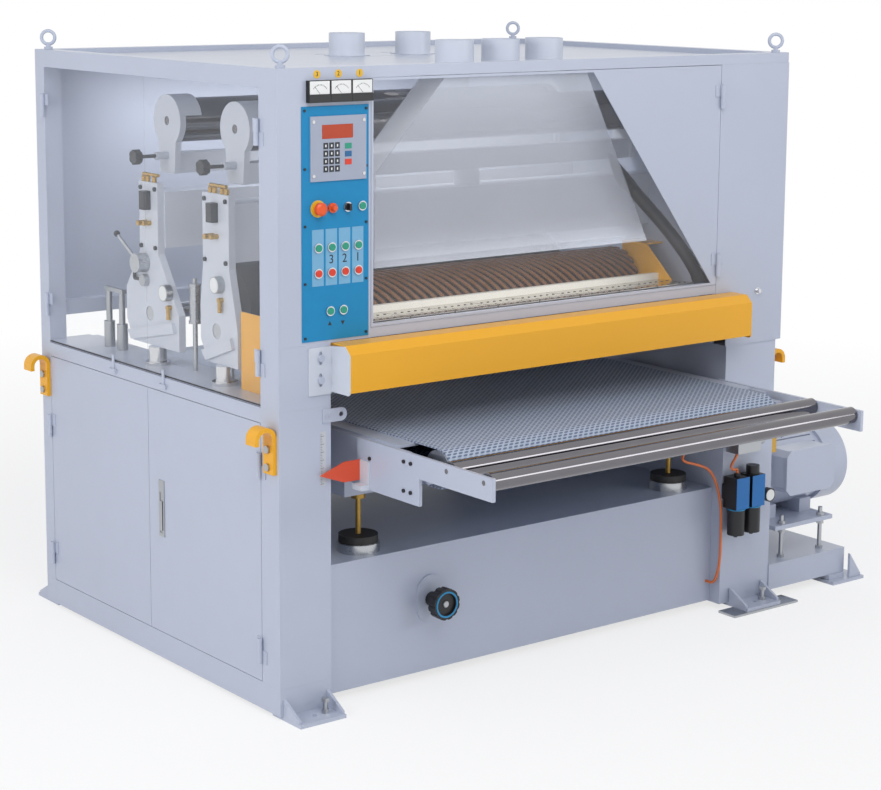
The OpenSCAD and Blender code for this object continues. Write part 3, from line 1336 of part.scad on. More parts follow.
// Cabinet doors of folded sheet on lift-off hinges
module cabinet_leaf(y0, y1) {
    box([x_left, y0, low_door_z0], [x_left + sheet_t, y1, low_door_z1]);
    for (y = [y0 + 30, y1 - 50])
        box([x_left + sheet_t, y, low_door_z0 + 30], [x_left + 20, y + 20, low_door_z1 - 30]);
}
module cabinet_door_front() color(paint) {
    cabinet_leaf(side_y0 + door_gap, side_mid - door_gap / 2);
    for (z = low_hinges) at_front_leaf(z) hinge_door_half();
    z = (low_door_z0 + low_door_z1) / 2 - 79;
    y = side_mid - 100;
    difference() {
        box([x_left - 3, y, z], [x_left, y + 34, z + 190]);
        box([x_left - 4, y + 7, z + 12], [x_left - 1, y + 27, z + 150]);
    }
    box([x_left - 5, y + 10, z + 20], [x_left - 1, y + 24, z + 120]);
}
module cabinet_door_rear() color(paint) {
    cabinet_leaf(side_mid + door_gap / 2, side_y1 - door_gap);
    for (z = low_hinges_rear) at_rear_leaf(z) hinge_door_half();
}

// Clear side doors in front of the heads
module side_leaf(y0, y1, latch_y) {
    box([x_left, y0, up_door_z0], [x_left + clear_t, y1, up_door_z1]);
    box([x_left - 4, latch_y - 7, up_door_z0 - 30], [x_left, latch_y + 7, up_door_z0 + 18]);
    box([x_left - 9, latch_y - 22, up_door_z0 - 44], [x_left, latch_y + 22, up_door_z0 - 30]);
}
module side_door_front() color("#dfe6ee", 0.4) {
    side_leaf(side_y0 + door_gap, side_mid - door_gap / 2, side_mid - 105);
    for (z = up_hinges) at_front_leaf(z) hinge_door_half();
}
module side_door_rear() color("#dfe6ee", 0.4) {
    side_leaf(side_mid + door_gap / 2, side_y1 - door_gap, side_mid + 225);
    for (z = up_hinges) at_rear_leaf(z) hinge_door_half();
}

// Front door: painted frame with a slant-edged clear window
window_edge = 8;
window_low = 362;
window_top = 927;
module window_outline(grow) {
    edge = window_edge - grow;
    polygon([[fdoor_x0 + edge, front_door_z + edge], [x_right - window_low + grow, front_door_z + edge],
        [x_right - window_top + grow, fdoor_z1 - edge], [fdoor_x0 + edge, fdoor_z1 - edge]]);
}
module front_door() color(paint) {
    skin = 4;
    slab_y(y_front, y_front + skin) difference() {
        translate([fdoor_x0, front_door_z]) square([fdoor_x1 - fdoor_x0, fdoor_z1 - front_door_z]);
        window_outline(0);
    }
    slab_y(y_front + skin + weld, y_front + skin + weld + clear_t) window_outline(6);
    for (x = [fdoor_x1 - 24, fdoor_x1 - 54])
        box([x, y_front + skin, front_door_z + 60], [x + 4, y_front + door_t, fdoor_z1 - 20]);
    for (z = front_hinges) at_front_door(z) hinge_door_half();
}

base_frame();
levelling_feet();
electrical_cabinet();
upper_frame();
cover_panels();
control_box();
control_plate();
panel_instruments();
dust_spigots();
lifting_eyebolts();
dust_hood();
drum_guards();
pressure_shoes();
head_frames();
head_fittings();
transport_hooks();
filter_regulator();
head_motors();
motor_pulley_front();
motor_pulley_rear();
drive_belts();
hoses();
screw_jacks();
conveyor_frame();
feed_belt();
height_pointer();
lift_screws();
drive_drum();
idler_drum();
infeed_roller_outer();
infeed_roller_inner();
guard_bar();
handwheel();
spiral_drum();
contact_drum_rear();
idler_yoke_front();
idler_yoke_rear();
idler_roller_front();
idler_roller_rear();
cabinet_door_front();
cabinet_door_rear();
side_door_front();
side_door_rear();
front_door();
clamp_lever();
tracking_knob_front();
tracking_knob_rear();
e_stop_button();
selector_knob();
green_button();
start_button_feed();
start_button_3();
start_button_2();
start_button_1();
stop_button_feed();
stop_button_3();
stop_button_2();
stop_button_1();
table_up_button();
table_down_button();
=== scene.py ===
"""Wide belt sander, dressed on its fixed mechanical frame: finishes, fittings, camera and light."""
from __future__ import annotations

import logging
import math
from dataclasses import dataclass
from enum import Enum
from typing import Dict, List, Optional, Sequence, Tuple, Union

import bmesh
import bpy
from bmesh.types import BMVert
from bpy.types import ID, Material, Mesh, NodeSocket, NodeTree, Object, World
from mathutils import Matrix, Vector


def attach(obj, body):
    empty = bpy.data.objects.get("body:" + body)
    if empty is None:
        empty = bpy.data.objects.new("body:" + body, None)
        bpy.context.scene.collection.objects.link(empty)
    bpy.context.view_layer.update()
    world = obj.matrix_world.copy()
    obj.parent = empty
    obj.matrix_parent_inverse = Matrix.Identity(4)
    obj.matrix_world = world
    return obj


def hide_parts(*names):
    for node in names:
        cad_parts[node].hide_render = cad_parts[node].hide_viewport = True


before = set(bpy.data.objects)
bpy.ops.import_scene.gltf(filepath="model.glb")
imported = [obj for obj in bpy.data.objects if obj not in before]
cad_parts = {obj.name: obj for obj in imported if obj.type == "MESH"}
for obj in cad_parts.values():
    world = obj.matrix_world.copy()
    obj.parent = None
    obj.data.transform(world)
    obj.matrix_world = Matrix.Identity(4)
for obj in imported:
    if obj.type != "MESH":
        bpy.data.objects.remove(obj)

LOG = logging.getLogger("sander")
Colour = Tuple[float, float, float]
Point = Tuple[float, float, float]
Pair = Tuple[float, float]
Span = Tuple[Optional[float], Optional[float]]
OPEN: Span = (None, None)
EVEN: Point = (1.0, 1.0, 1.0)
TURN = 2 * math.pi
GRAIN_DEPTH = 0.0003
EDGE_ANGLE = math.radians(35)
DISC_SIDES = 40
HEAD_SIDES = 16


def tint(code: str, share: float = 1.0) -> Colour:
    """Turn a screen colour into linear light by the sRGB curve.

    Args:
        code: Six hexadecimal digits after a hash.
        share: Share of its light to keep.

    Returns:
        Red, green and blue in linear light.
    """
    values = [int(code[i:i + 2], 16) / 255 for i in (1, 3, 5)]
    light = [v / 12.92 if v <= 0.04045 else ((v + 0.055) / 1.055) ** 2.4 for v in values]
    return tuple(v * share for v in light)


def stand(name: str, data: ID) -> Object:
    """A new object of the scene with that data."""
    made = bpy.data.objects.new(name, data)
    bpy.context.scene.collection.objects.link(made)
    return made


def bake(holder: Object) -> Mesh:
    """Plain mesh of an object as it shows, which is then removed."""
    ready = holder.evaluated_get(bpy.context.evaluated_depsgraph_get())
    mesh = bpy.data.meshes.new_from_object(ready)
    bpy.data.objects.remove(holder)
    return mesh


class Axis(Enum):
    """Direction in which a small part points."""

    LEFT = (-1.0, 0.0, 0.0)
    RIGHT = (1.0, 0.0, 0.0)
    FRONT = (0.0, -1.0, 0.0)
    BACK = (0.0, 1.0, 0.0)
    UP = (0.0, 0.0, 1.0)

    def turn(self) -> Matrix:
        """Rotation that takes up to this direction."""
        return Vector(Axis.UP.value).rotation_difference(Vector(self.value)).to_matrix()


class Body(Enum):
    """Moving bodies that carry the added pieces."""

    MACHINE = "machine"
    TABLE = "table"
    WHEEL = "handwheel"


@dataclass(frozen=True)
class Layout:
    """Main faces and axes of the machine in the shared frame, in metres."""

    left: float = -1.063
    right: float = 1.107
    front: float = -0.765
    back: float = 0.765
    arm: float = -0.768
    arm_right: float = 0.812
    head_front: float = -0.295
    head_rear: float = 0.125
    end_plate: float = -0.988
    column: float = 1.087
    drum_z: float = 1.145
    drum_radius: float = 0.1395
    drum_half: float = 0.7001

    @property
    def middle(self) -> float:
        """Middle of the body along X."""
        return (self.left + self.right) / 2


LAY = Layout()
FRONT, LEFT = LAY.front, LAY.left
FORE, REAR = LAY.head_front, LAY.head_rear


class Sock:
    """A shader value that takes part in arithmetic by adding Math nodes."""

    def __init__(self, graph: Graph, socket: NodeSocket) -> None:
        """Keep the graph and its output socket."""
        self.graph = graph
        self.socket = socket

    def math(self, operation: str, other: Value = 0.0) -> Sock:
        """Add one Math node that starts from this value."""
        return self.graph.node("ShaderNodeMath", {0: self, 1: other}, {"operation": operation})

    def __add__(self, other: Value) -> Sock:
        """Sum."""
        return self.math("ADD", other)

    __radd__ = __add__

    def __sub__(self, other: Value) -> Sock:
        """Difference."""
        return self.math("SUBTRACT", other)

    def __rsub__(self, other: Value) -> Sock:
        """Reflected difference."""
        return self * -1.0 + other

    def __mul__(self, other: Value) -> Sock:
        """Product."""
        return self.math("MULTIPLY", other)

    __rmul__ = __mul__

    def clip(self) -> Sock:
        """The value held between 0 and 1."""
        return self.math("MAXIMUM", 0.0).math("MINIMUM", 1.0)


Value = Union[Sock, float]


def around(base: Value, swing: float, noise: Sock) -> Sock:
    """A value that swings evenly about its base with a noise between 0 and 1."""
    return base + swing * (noise - 0.5)


class Graph:
    """Node tree of a material or of the world."""

    def __init__(self, owner: Union[Material, World]) -> None:
        """Empty the owner's tree."""
        owner.use_nodes = True
        self.tree = owner.node_tree
        self.tree.nodes.clear()

    def node(self, kind: str, values: Optional[dict] = None, settings: Optional[dict] = None,
             output: Union[int, str] = 0) -> Sock:
        """Add a node.

        Args:
            kind: Node type.
            values: Numbers, colours or links by socket.
            settings: Properties, set first.
            output: Which output to return.

        Returns:
            That output.
        """
        made = self.tree.nodes.new(kind)
        for key, value in (settings or {}).items():
            setattr(made, key, value)
        for key, value in (values or {}).items():
            socket = made.inputs[key]
            if isinstance(value, Sock):
                self.tree.links.new(value.socket, socket)
            elif isinstance(value, tuple) and len(value) == 3 and len(socket.default_value) == 4:
                socket.default_value = (*value, 1.0)
            else:
                socket.default_value = value
        return Sock(self, made.outputs[output])

    def place(self) -> Sock:
        """Object coordinates, which are the shared frame in metres."""
        return self.node("ShaderNodeTexCoord", output="Object")

    def xyz(self) -> Tuple[Sock, ...]:
        """Object coordinates one by one."""
        split = self.node("ShaderNodeSeparateXYZ", {0: self.place()})
        return tuple(Sock(self, output) for output in split.socket.node.outputs)

    def seen(self) -> Sock:
        """One for rays of the camera and for those that metal and glass show."""
        rays = self.node("ShaderNodeLightPath").socket.node.outputs
        camera, glossy, clear = (Sock(self, rays[kind]) for kind in (
            "Is Camera Ray", "Is Glossy Ray", "Is Transmission Ray"))
        return camera.math("MAXIMUM", glossy).math("MAXIMUM", clear)

    def noise(self, scale: float, detail: float = 2.0, stretch: Point = EVEN) -> Sock:
        """Noise between 0 and 1.

        Args:
            scale: Features per metre.
            detail: Octaves.
            stretch: Scale along each axis.

        Returns:
            The noise value.
        """
        where = self.place()
        if stretch != EVEN:
            where = self.node("ShaderNodeMapping", {"Vector": where, "Scale": stretch})
        return self.node("ShaderNodeTexNoise", {"Vector": where, "Scale": scale, "Detail": detail})

    def mix(self, first: Union[Sock, Colour], second: Union[Sock, Colour], factor: Value) -> Sock:
        """Blend two colours by a factor."""
        return self.node("ShaderNodeMix", {0: factor, 6: first, 7: second}, {"data_type": "RGBA"}, 2)

    def patchy(self, code: str, low: float, scale: float, share: float) -> Sock:
        """A colour with patches that go a share of the way to its darker tint."""
        return self.mix(tint(code), tint(code, low), self.noise(scale, 3.0) * share)

    def bump(self, height: Sock, strength: float, distance: float = GRAIN_DEPTH) -> Sock:
        """Normal bent by a height."""
        return self.node("ShaderNodeBump", {"Height": height, "Strength": strength, "Distance": distance})

    def surface(self, values: dict) -> Sock:
        """Principled surface with these inputs."""
        return self.node("ShaderNodeBsdfPrincipled", values)

    def blend(self, factor: Value, first: Sock, second: Sock) -> Sock:
        """Mix two shaders by a factor."""
        return self.node("ShaderNodeMixShader", {0: factor, 1: first, 2: second})

    def close(self, shader: Sock, kind: str = "ShaderNodeOutputMaterial") -> None:
        """Join the shader to a new output."""
        self.tree.links.new(shader.socket, self.tree.nodes.new(kind).inputs["Surface"])


@dataclass(frozen=True)
class Finish:
    """A surface finish."""

    def shade(self, g: Graph) -> Sock:
        """Build the shader in a graph."""
        raise NotImplementedError

    def material(self, name: str) -> Material:
        """A material of this finish."""
        made = bpy.data.materials.new(name)
        graph = Graph(made)
        graph.close(self.shade(graph))
        return made


@dataclass(frozen=True)
class Enamel(Finish):
    """Sprayed enamel with a faint orange peel and uneven shade."""

    colour: str
    roughness: float = 0.34
    soil: float = 0.10
    wander: float = 0.10
    rub_share: float = 0.2
    peel_scale: float = 330.0
    peel: float = 0.05
    peel_depth: float = 0.0004

    def shade(self, g: Graph) -> Sock:
        """Enamel shader."""
        cloud, rub = g.noise(1.7, 3.0), g.noise(14.0, 4.0)
        tone = g.mix(tint(self.colour), tint(self.colour, 1 - self.soil),
                     cloud * (1 - self.rub_share) + rub * self.rub_share)
        peel = g.bump(g.noise(self.peel_scale, 1.0), self.peel, self.peel_depth)
        return g.surface({"Base Color": tone, "Roughness": around(self.roughness, self.wander, rub),
                          "Coat Weight": 0.2, "Coat Roughness": 0.2, "Normal": peel})


@dataclass(frozen=True)
class Metal(Finish):
    """Bare or plated metal with machining marks along one direction."""

    colour: str
    roughness: float = 0.25
    stretch: Point = EVEN
    marks: float = 60.0
    wander: float = 0.12
    dull: float = 0.72
    relief: float = 0.04

    def shade(self, g: Graph) -> Sock:
        """Metal shader."""
        lines = g.noise(self.marks, 4.0, self.stretch)
        return g.surface({"Base Color": g.patchy(self.colour, self.dull, 9.0, 0.6), "Metallic": 1.0,
                          "Roughness": around(self.roughness, self.wander, lines),
                          "Normal": g.bump(lines, self.relief)})


@dataclass(frozen=True)
class Moulded(Finish):
    """Moulded plastic or rubber with a fine grain."""

    colour: str
    roughness: float = 0.45
    grain: float = 700.0
    depth: float = 0.08
    wander: float = 0.08
    dull: float = 0.8

    def shade(self, g: Graph) -> Sock:
        """Plastic shader."""
        grain = g.noise(self.grain)
        return g.surface({"Base Color": g.patchy(self.colour, self.dull, 22.0, 0.5),
                          "Roughness": around(self.roughness, self.wander, grain),
                          "Normal": g.bump(grain, self.depth)})


@dataclass(frozen=True)
class ClearSheet(Finish):
    """Clear plastic sheet with faint haze."""

    colour: str
    alpha: float = 0.12
    roughness: float = 0.08
    haze: float = 0.05
    ior: float = 1.2

    def shade(self, g: Graph) -> Sock:
        """Clear sheet shader."""
        cloud = g.noise(3.0, 3.0)
        return g.surface({"Base Color": tint(self.colour), "IOR": self.ior,
                          "Roughness": self.roughness + self.haze * cloud,
                          "Alpha": around(self.alpha, self.haze, cloud)})


@dataclass(frozen=True)
class RoughTop(Finish):
    """Conveyor rubber with rows of short dashes across the feed, each row a little further on; the sunk
    dashes are darkened by painted shade.
    """

    pad: str
    groove_shade: str
    pitch: float = 0.022
    row: float = 0.0155
    skew: float = 1.2
    dash_width: float = 0.9
    row_width: float = 0.7
    edge: float = 0.8
    worn: float = 0.82
    relief: float = 0.7
    depth: float = 0.003

    def shade(self, g: Graph) -> Sock:
        """Rough-top shader."""
        x, y, z = g.xyz()
        dash = ((x - y * self.skew) * (TURN / self.pitch)).math("SINE")
        line = ((y + z) * (TURN / self.row)).math("SINE")
        sunk = ((dash + self.dash_width) * (line + self.row_width) * self.edge).clip()
        scuff = g.noise(5.0, 4.0, (0.35, 1.0, 1.0))
        pads = g.mix(tint(self.pad), tint(self.pad, self.worn), scuff)
        # The sunk dashes take the darker groove colour: painted shade in the grooves.
        return g.surface({"Base Color": g.mix(pads, tint(self.groove_shade), sunk), "Roughness": 0.5 + 0.2 * sunk,
                          "Normal": g.bump(1 - sunk, self.relief, self.depth)})


@dataclass(frozen=True)
class Ribbed(Finish):
    """Rubber ribs round an axis along X, the grooves between them darkened by painted shade."""

    rib: str
    groove_shade: str
    axis_y: float
    axis_z: float
    radius: float
    slope: float = 160.0
    wander: float = 0.06
    relief: float = 0.1

    def shade(self, g: Graph) -> Sock:
        """Rib shader."""
        _, y, z = g.xyz()
        dy, dz = y - self.axis_y, z - self.axis_z
        low = ((self.radius - (dy * dy + dz * dz).math("SQRT")) * self.slope).clip()
        grain = g.noise(240.0)
        ribs = g.patchy(self.rib, 0.75, 18.0, 1.0)
        # Points below the rib radius take the dark groove colour: painted shade in the grooves.
        return g.surface({"Base Color": g.mix(ribs, tint(self.groove_shade), low),
                          "Roughness": around(0.34 + 0.3 * low, self.wander, grain),
                          "Normal": g.bump(grain, self.relief)})


@dataclass(frozen=True)
class Threaded(Finish):
    """Turned metal with a thread along Z, darker in the roots of the thread: painted shade."""

    colour: str
    pitch: float = 0.004
    root_shade: float = 0.55
    relief: float = 0.5
    depth: float = 0.001

    def shade(self, g: Graph) -> Sock:
        """Thread shader."""
        _, _, z = g.xyz()
        wave = (z * (TURN / self.pitch)).math("SINE") * 0.5 + 0.5
        # The roots of the thread are darkened: painted shade.
        tone = g.mix(tint(self.colour, self.root_shade), tint(self.colour), wave)
        return g.surface({"Base Color": tone, "Metallic": 1.0, "Roughness": 0.35 + 0.1 * (1 - wave),
                          "Normal": g.bump(wave, self.relief, self.depth)})


@dataclass(frozen=True)
class Zone:
    """A box of the shared frame; a side set to None is open."""

    x: Span = OPEN
    y: Span = OPEN
    z: Span = OPEN

    def mask(self, g: Graph) -> Sock:
        """One inside the box and zero outside."""
        total: Value = 1.0
        for sock, (low, high) in zip(g.xyz(), (self.x, self.y, self.z)):
            if low is not None:
                total = sock.math("GREATER_THAN", low) * total
            if high is not None:
                total = sock.math("LESS_THAN", high) * total
        return total


@dataclass(frozen=True)
class Zoned(Finish):
    """One finish with others in boxes of it."""

    base: Finish
    zones: Tuple[Tuple[Zone, Finish], ...]

    def shade(self, g: Graph) -> Sock:
        """Mix the finishes by their boxes."""
        shader = self.base.shade(g)
        for zone, finish in self.zones:
            shader = g.blend(zone.mask(g), shader, finish.shade(g))
        return shader


PAINT = Enamel("#bdc4d5")
PALE_PAINT = Enamel("#d3d9e5", 0.34, 0.06)
YELLOW = Enamel("#f2ae10", 0.36, 0.06)
WHITE = Enamel("#cfd4de", 0.35, 0.05)
CREAM = Enamel("#e9e6dc", 0.4, 0.05)
ORANGE_RED = Enamel("#e0502a", 0.4, 0.06)
PANEL_BLUE = Moulded("#0087bd", 0.6, 500.0, 0.02)
PALE_BLUE = Enamel("#74aed2", 0.4, 0.04)
STEEL = Metal("#c3c6ca", 0.28, (1.0, 8.0, 8.0))
ZINC = Metal("#b9bcc0", 0.33)
BRIGHT = Metal("#e2e3e6", 0.10, (12.0, 1.0, 1.0), 40.0, 0.06)
# The rollers' chrome is darkened to the mean tone of its dark reflections: painted reflection.
ROLLER_PAINTED_REFLECTION = Metal("#7d7b7f", 0.09, (1.0, 9.0, 9.0), 30.0, 0.08)
SHOE_STEEL = Metal("#b3aca2", 0.12, (1.0, 6.0, 6.0), 50.0, 0.08)
BRASS = Metal("#c9a45a", 0.28)
BLACK = Moulded("#1b1c1f", 0.42)
DARK_STEEL = Metal("#3a3b3f", 0.35)
INSTRUMENT = Moulded("#a6aec0", 0.5)
RUBBER = Moulded("#2b2a2a", 0.6, 300.0, 0.15)
DRUM_RUBBER = Ribbed("#86582f", "#2c2320", FORE, LAY.drum_z, LAY.drum_radius)
CLEAR_SIDE = ClearSheet("#e6eaf0", 0.07, 0.04)
CLEAR_FRONT = ClearSheet("#e8ebf0", 0.05, 0.05)
HOOD_SHEET = ClearSheet("#e4e9f4", 0.27, 0.10)
# The hood's left side wall gets a paler, more opaque copy of the hood sheet: painted sheen of the sheet
# seen edge-on.
HOOD_PAINTED_SHEEN = ClearSheet("#eef1f7", 0.44, 0.12)
GREEN = Moulded("#1f9a7c", 0.3, 500.0, 0.03)
RED = Moulded("#e23b22", 0.3, 500.0, 0.03)
MUSHROOM = Moulded("#ee5a20", 0.3, 500.0, 0.03)
LAMP = Moulded("#f0602a", 0.2, 500.0, 0.02)
PLATE_YELLOW = Moulded("#f2bf2c", 0.4)
INK = Moulded("#20242c", 0.5)
DIAL = Moulded("#f1f2f0", 0.4, 500.0, 0.02)
DISPLAY = Moulded("#b83d14", 0.25, 500.0, 0.02)
KEY_BLUE = Moulded("#1f6396", 0.4)
RING_BLUE = Moulded("#1f8fc4", 0.35)
HOSE_BLACK = Moulded("#18161a", 0.38, 200.0, 0.1)
TUBE_ORANGE = Moulded("#e2763a", 0.3, 200.0, 0.04)
REGULATOR_BLUE = Moulded("#1470b8", 0.4)
SCALE_GREY = Moulded("#c6cad1", 0.4, 500.0, 0.02)

DRUM_ENDS = ((Zone(x=(None, LAY.middle - LAY.drum_half)), STEEL),
             (Zone(x=(LAY.middle + LAY.drum_half, None)), STEEL))
FRONT_PANE: Span = (FRONT + 0.0041, FRONT + 0.0095)
NODE_FINISH: Dict[str, Finish] = {
    "base_frame": Zoned(PAINT, (
        (Zone(x=(LAY.column + 0.01, None), z=(0.127, 0.236)), ZINC),
        (Zone(x=(LAY.column + 0.01, None), z=(0.2535, 0.3)), ZINC))),
    "levelling_feet": ZINC,
    "electrical_cabinet": Zoned(PAINT, (
        (Zone((LEFT + 0.06, LEFT + 0.1499), (FRONT + 0.19, LAY.back - 0.12), (0.2, 0.9)), BLACK),
        # The top sheet under the perforated floor is painted black: painted shade, so the holes of the
        # floor look dark.
        (Zone((LEFT + 0.0075, LEFT + 0.19), (FRONT + 0.1005, LAY.back - 0.0655), (0.9695, None)), BLACK))),
    "upper_frame": PAINT,
    "cover_panels": PAINT,
    "control_box": PAINT,
    "control_plate": PANEL_BLUE,
    "panel_instruments": Zoned(INSTRUMENT, (
        (Zone(z=(1.89, None)), BLACK),
        (Zone(z=(None, 1.65)), BRIGHT),
        (Zone((LEFT + 0.11, LEFT + 0.1696), (None, FRONT - 0.0030), (1.54, 1.62)), PLATE_YELLOW),
        (Zone(x=(LEFT + 0.178, LEFT + 0.211), z=(1.56, 1.60)), LAMP))),
    "dust_spigots": PALE_PAINT,
    "lifting_eyebolts": PAINT,
    "dust_hood": Zoned(HOOD_SHEET, (
        (Zone(x=(None, 0.0), y=(-0.5999, -0.4801)), HOOD_PAINTED_SHEEN),)),
    "drum_guards": YELLOW,
    "pressure_shoes": Zoned(SHOE_STEEL, (
        (Zone(z=(1.1849, None), y=(FRONT + 0.2549, None)), CREAM),)),
    "head_frames": Zoned(WHITE, ((Zone(z=(None, 1.0395)), BRIGHT),)),
    "head_fittings": Zoned(BRASS, (
        (Zone(y=(REAR + 0.17, None)), ZINC),
        (Zone(z=(1.49, 1.56)), BLACK),
        (Zone(y=(FORE - 0.06, FORE + 0.01), z=(1.268, 1.33)), ZINC),
        (Zone(y=(REAR - 0.16, REAR - 0.095), z=(1.20, 1.262)), ZINC),
        (Zone(x=(LAY.end_plate + 0.02, None), y=(REAR - 0.24, REAR - 0.18)), STEEL),
        (Zone(y=(REAR - 0.005, REAR + 0.0385), z=(1.234, 1.278)), ZINC),
        (Zone(y=(REAR + 0.0381, REAR + 0.09), z=(1.24, 1.29)), BLACK))),
    "transport_hooks": Zoned(YELLOW, (
        (Zone(x=(None, LEFT - 0.0147), z=(None, 0.8695)), ZINC),
        (Zone(x=(LAY.column + 0.0147, None), z=(None, 0.8695)), ZINC))),
    "filter_regulator": Zoned(BLACK, (
        (Zone(y=(None, -0.8355), z=(0.3849, 0.5001)), REGULATOR_BLUE),
        (Zone(x=(LAY.column, None), z=(0.54, None)), BRASS),
        (Zone(x=(None, LAY.column), z=(0.58, None)), ZINC))),
    "head_motors": PAINT,
    "drive_belts": RUBBER,
    "screw_jacks": Zoned(STEEL, ((Zone(z=(0.4752, None)), RUBBER),)),
    "conveyor_frame": PAINT,
    "feed_belt": RoughTop("#b8c4d8", "#6c7993"),
    "height_pointer": Zoned(ORANGE_RED, ((Zone(y=(None, FRONT - 0.01405)), WHITE),)),
    "lift_screws": Threaded("#c9a45a"),
    "drive_drum": RUBBER,
    "idler_drum": STEEL,
    "infeed_roller_outer": ROLLER_PAINTED_REFLECTION,
    "infeed_roller_inner": ROLLER_PAINTED_REFLECTION,
    "guard_bar": Zoned(YELLOW, ((Zone(x=(None, LEFT + 0.1941)), WHITE),)),
    "handwheel": BLACK,
    "spiral_drum": Zoned(DRUM_RUBBER, DRUM_ENDS),
    "contact_drum_rear": Zoned(RUBBER, DRUM_ENDS),
    "cabinet_door_front": Zoned(PAINT, (
        (Zone((None, LEFT - 0.0001), (FRONT + 0.65, None), (0.43, 0.63)), ZINC),)),
    "cabinet_door_rear": PAINT,
    "front_door": Zoned(PAINT, (
        (Zone((None, 0.752), FRONT_PANE, (None, 1.2575)), CLEAR_FRONT),
        (Zone((None, 0.7125), FRONT_PANE, (1.2575, None)), CLEAR_FRONT))),
    "clamp_lever": Zoned(STEEL, ((Zone(y=(REAR + 0.155, None)), BLACK),)),
    "e_stop_button": MUSHROOM,
    "selector_knob": BLACK,
    "green_button": GREEN,
    "table_up_button": GREEN,
    "table_down_button": GREEN,
}
for end in ("front", "rear"):
    NODE_FINISH["motor_pulley_" + end] = DARK_STEEL
    NODE_FINISH["idler_yoke_" + end] = WHITE
    NODE_FINISH["idler_roller_" + end] = ROLLER_PAINTED_REFLECTION
    NODE_FINISH["tracking_knob_" + end] = BLACK
    NODE_FINISH["side_door_" + end] = Zoned(CLEAR_SIDE, ((Zone(x=(None, LEFT - 0.0002)), PAINT),))
for station in ("feed", "3", "2", "1"):
    NODE_FINISH["start_button_" + station] = GREEN
    NODE_FINISH["stop_button_" + station] = RED


def spokes(side: Vector, other: Vector, count: int) -> List[Vector]:
    """Even directions round a circle, from two of them a quarter turn apart."""
    turns = [TURN * k / count for k in range(count)]
    return [math.cos(a) * side + math.sin(a) * other for a in turns]


class Solid:
    """Mesh builder for small pieces."""

    def __init__(self) -> None:
        """Start with nothing."""
        self.bm = bmesh.new()

    def _keep(self, verts: Sequence[BMVert], bevel: float) -> None:
        """Round the edges of new vertices."""
        if bevel > 0:
            edges = list({e for v in verts for e in v.link_edges})
            bmesh.ops.bevel(self.bm, geom=edges, offset=bevel, segments=2, affect="EDGES",
                            clamp_overlap=True)

    def box(self, low: Point, high: Point, bevel: float = 0.0) -> Solid:
        """Add a box between two corners, with rounded edges if bevel is set."""
        low, high = Vector(low), Vector(high)
        where = Matrix.Translation((low + high) / 2) @ Matrix.Diagonal((*(high - low), 1.0))
        made = bmesh.ops.create_cube(self.bm, size=1.0, matrix=where)
        self._keep(made["verts"], bevel)
        return self

    def rod(self, start: Point, axis: Axis, length: float, radius: float,
            tip: Optional[float] = None, sides: int = 32, bevel: float = 0.0) -> Solid:
        """Add a round bar or cone.

        Args:
            start: Centre of its first end.
            axis: Direction in which it points.
            length: Length.
            radius: Radius at the start.
            tip: Radius at the far end, if it differs.
            sides: Facets round it.
            bevel: Rounding of the edges.

        Returns:
            This builder.
        """
        middle = Vector(start) + Vector(axis.value) * length / 2
        made = bmesh.ops.create_cone(self.bm, cap_ends=True, segments=sides, radius1=radius,
            radius2=radius if tip is None else tip, depth=length,
            matrix=Matrix.Translation(middle) @ axis.turn().to_4x4())
        self._keep(made["verts"], bevel)
        return self

    def ring(self, centre: Point, axis: Axis, radius: float, thick: float, sides: int = 48) -> Solid:
        """Add a ring round an axis."""
        turn = axis.turn()
        circle = [TURN * i / sides for i in range(sides)]
        path = [Vector(centre) + turn @ Vector((radius * math.cos(a), radius * math.sin(a), 0.0))
                for a in circle]
        return self.sweep(path, thick, 10, True)

    def sweep(self, path: Sequence[Vector], radius: float, sides: int, closed: bool = False) -> Solid:
        """Add a tube along a path.

        Args:
            path: Points of its centre line.
            radius: Radius of the tube.
            sides: Facets round it.
            closed: Whether the path joins its own start.

        Returns:
            This builder.
        """
        count = len(path)
        rings: List[List[BMVert]] = []
        side = None
        for i, here in enumerate(path):
            ahead = path[(i + 1) % count] if closed or i + 1 < count else here
            behind = path[i - 1] if closed or i > 0 else here
            along = (ahead - behind).normalized()
            if side is None:
                side = along.orthogonal().normalized()
            side = (side - along * side.dot(along)).normalized()
            rings.append([self.bm.verts.new(here + radius * spoke)
                          for spoke in spokes(side, along.cross(side), sides)])
        return self.skin(rings, closed)

    def skin(self, rings: Sequence[List[BMVert]], closed: bool = False) -> Solid:
        """Add faces from ring to ring, and both end caps unless the rings close."""
        count, sides = len(rings), len(rings[0])
        for i in range(count if closed else count - 1):
            a, b = rings[i], rings[(i + 1) % count]
            for k in range(sides):
                self.bm.faces.new((a[k], a[(k + 1) % sides], b[(k + 1) % sides], b[k]))
        if not closed:
            self.bm.faces.new(list(reversed(rings[0])))
            self.bm.faces.new(rings[-1])
        return self

    def mesh(self, name: str) -> Mesh:
        """Finish the mesh with outward faces, smooth but for its edges."""
        bmesh.ops.recalc_face_normals(self.bm, faces=self.bm.faces)
        for face in self.bm.faces:
            face.smooth = True
        for edge in self.bm.edges:
            edge.smooth = len(edge.link_faces) == 2 and edge.calc_face_angle(0.0) < EDGE_ANGLE
        made = bpy.data.meshes.new(name)
        self.bm.to_mesh(made)
        self.bm.free()
        return made


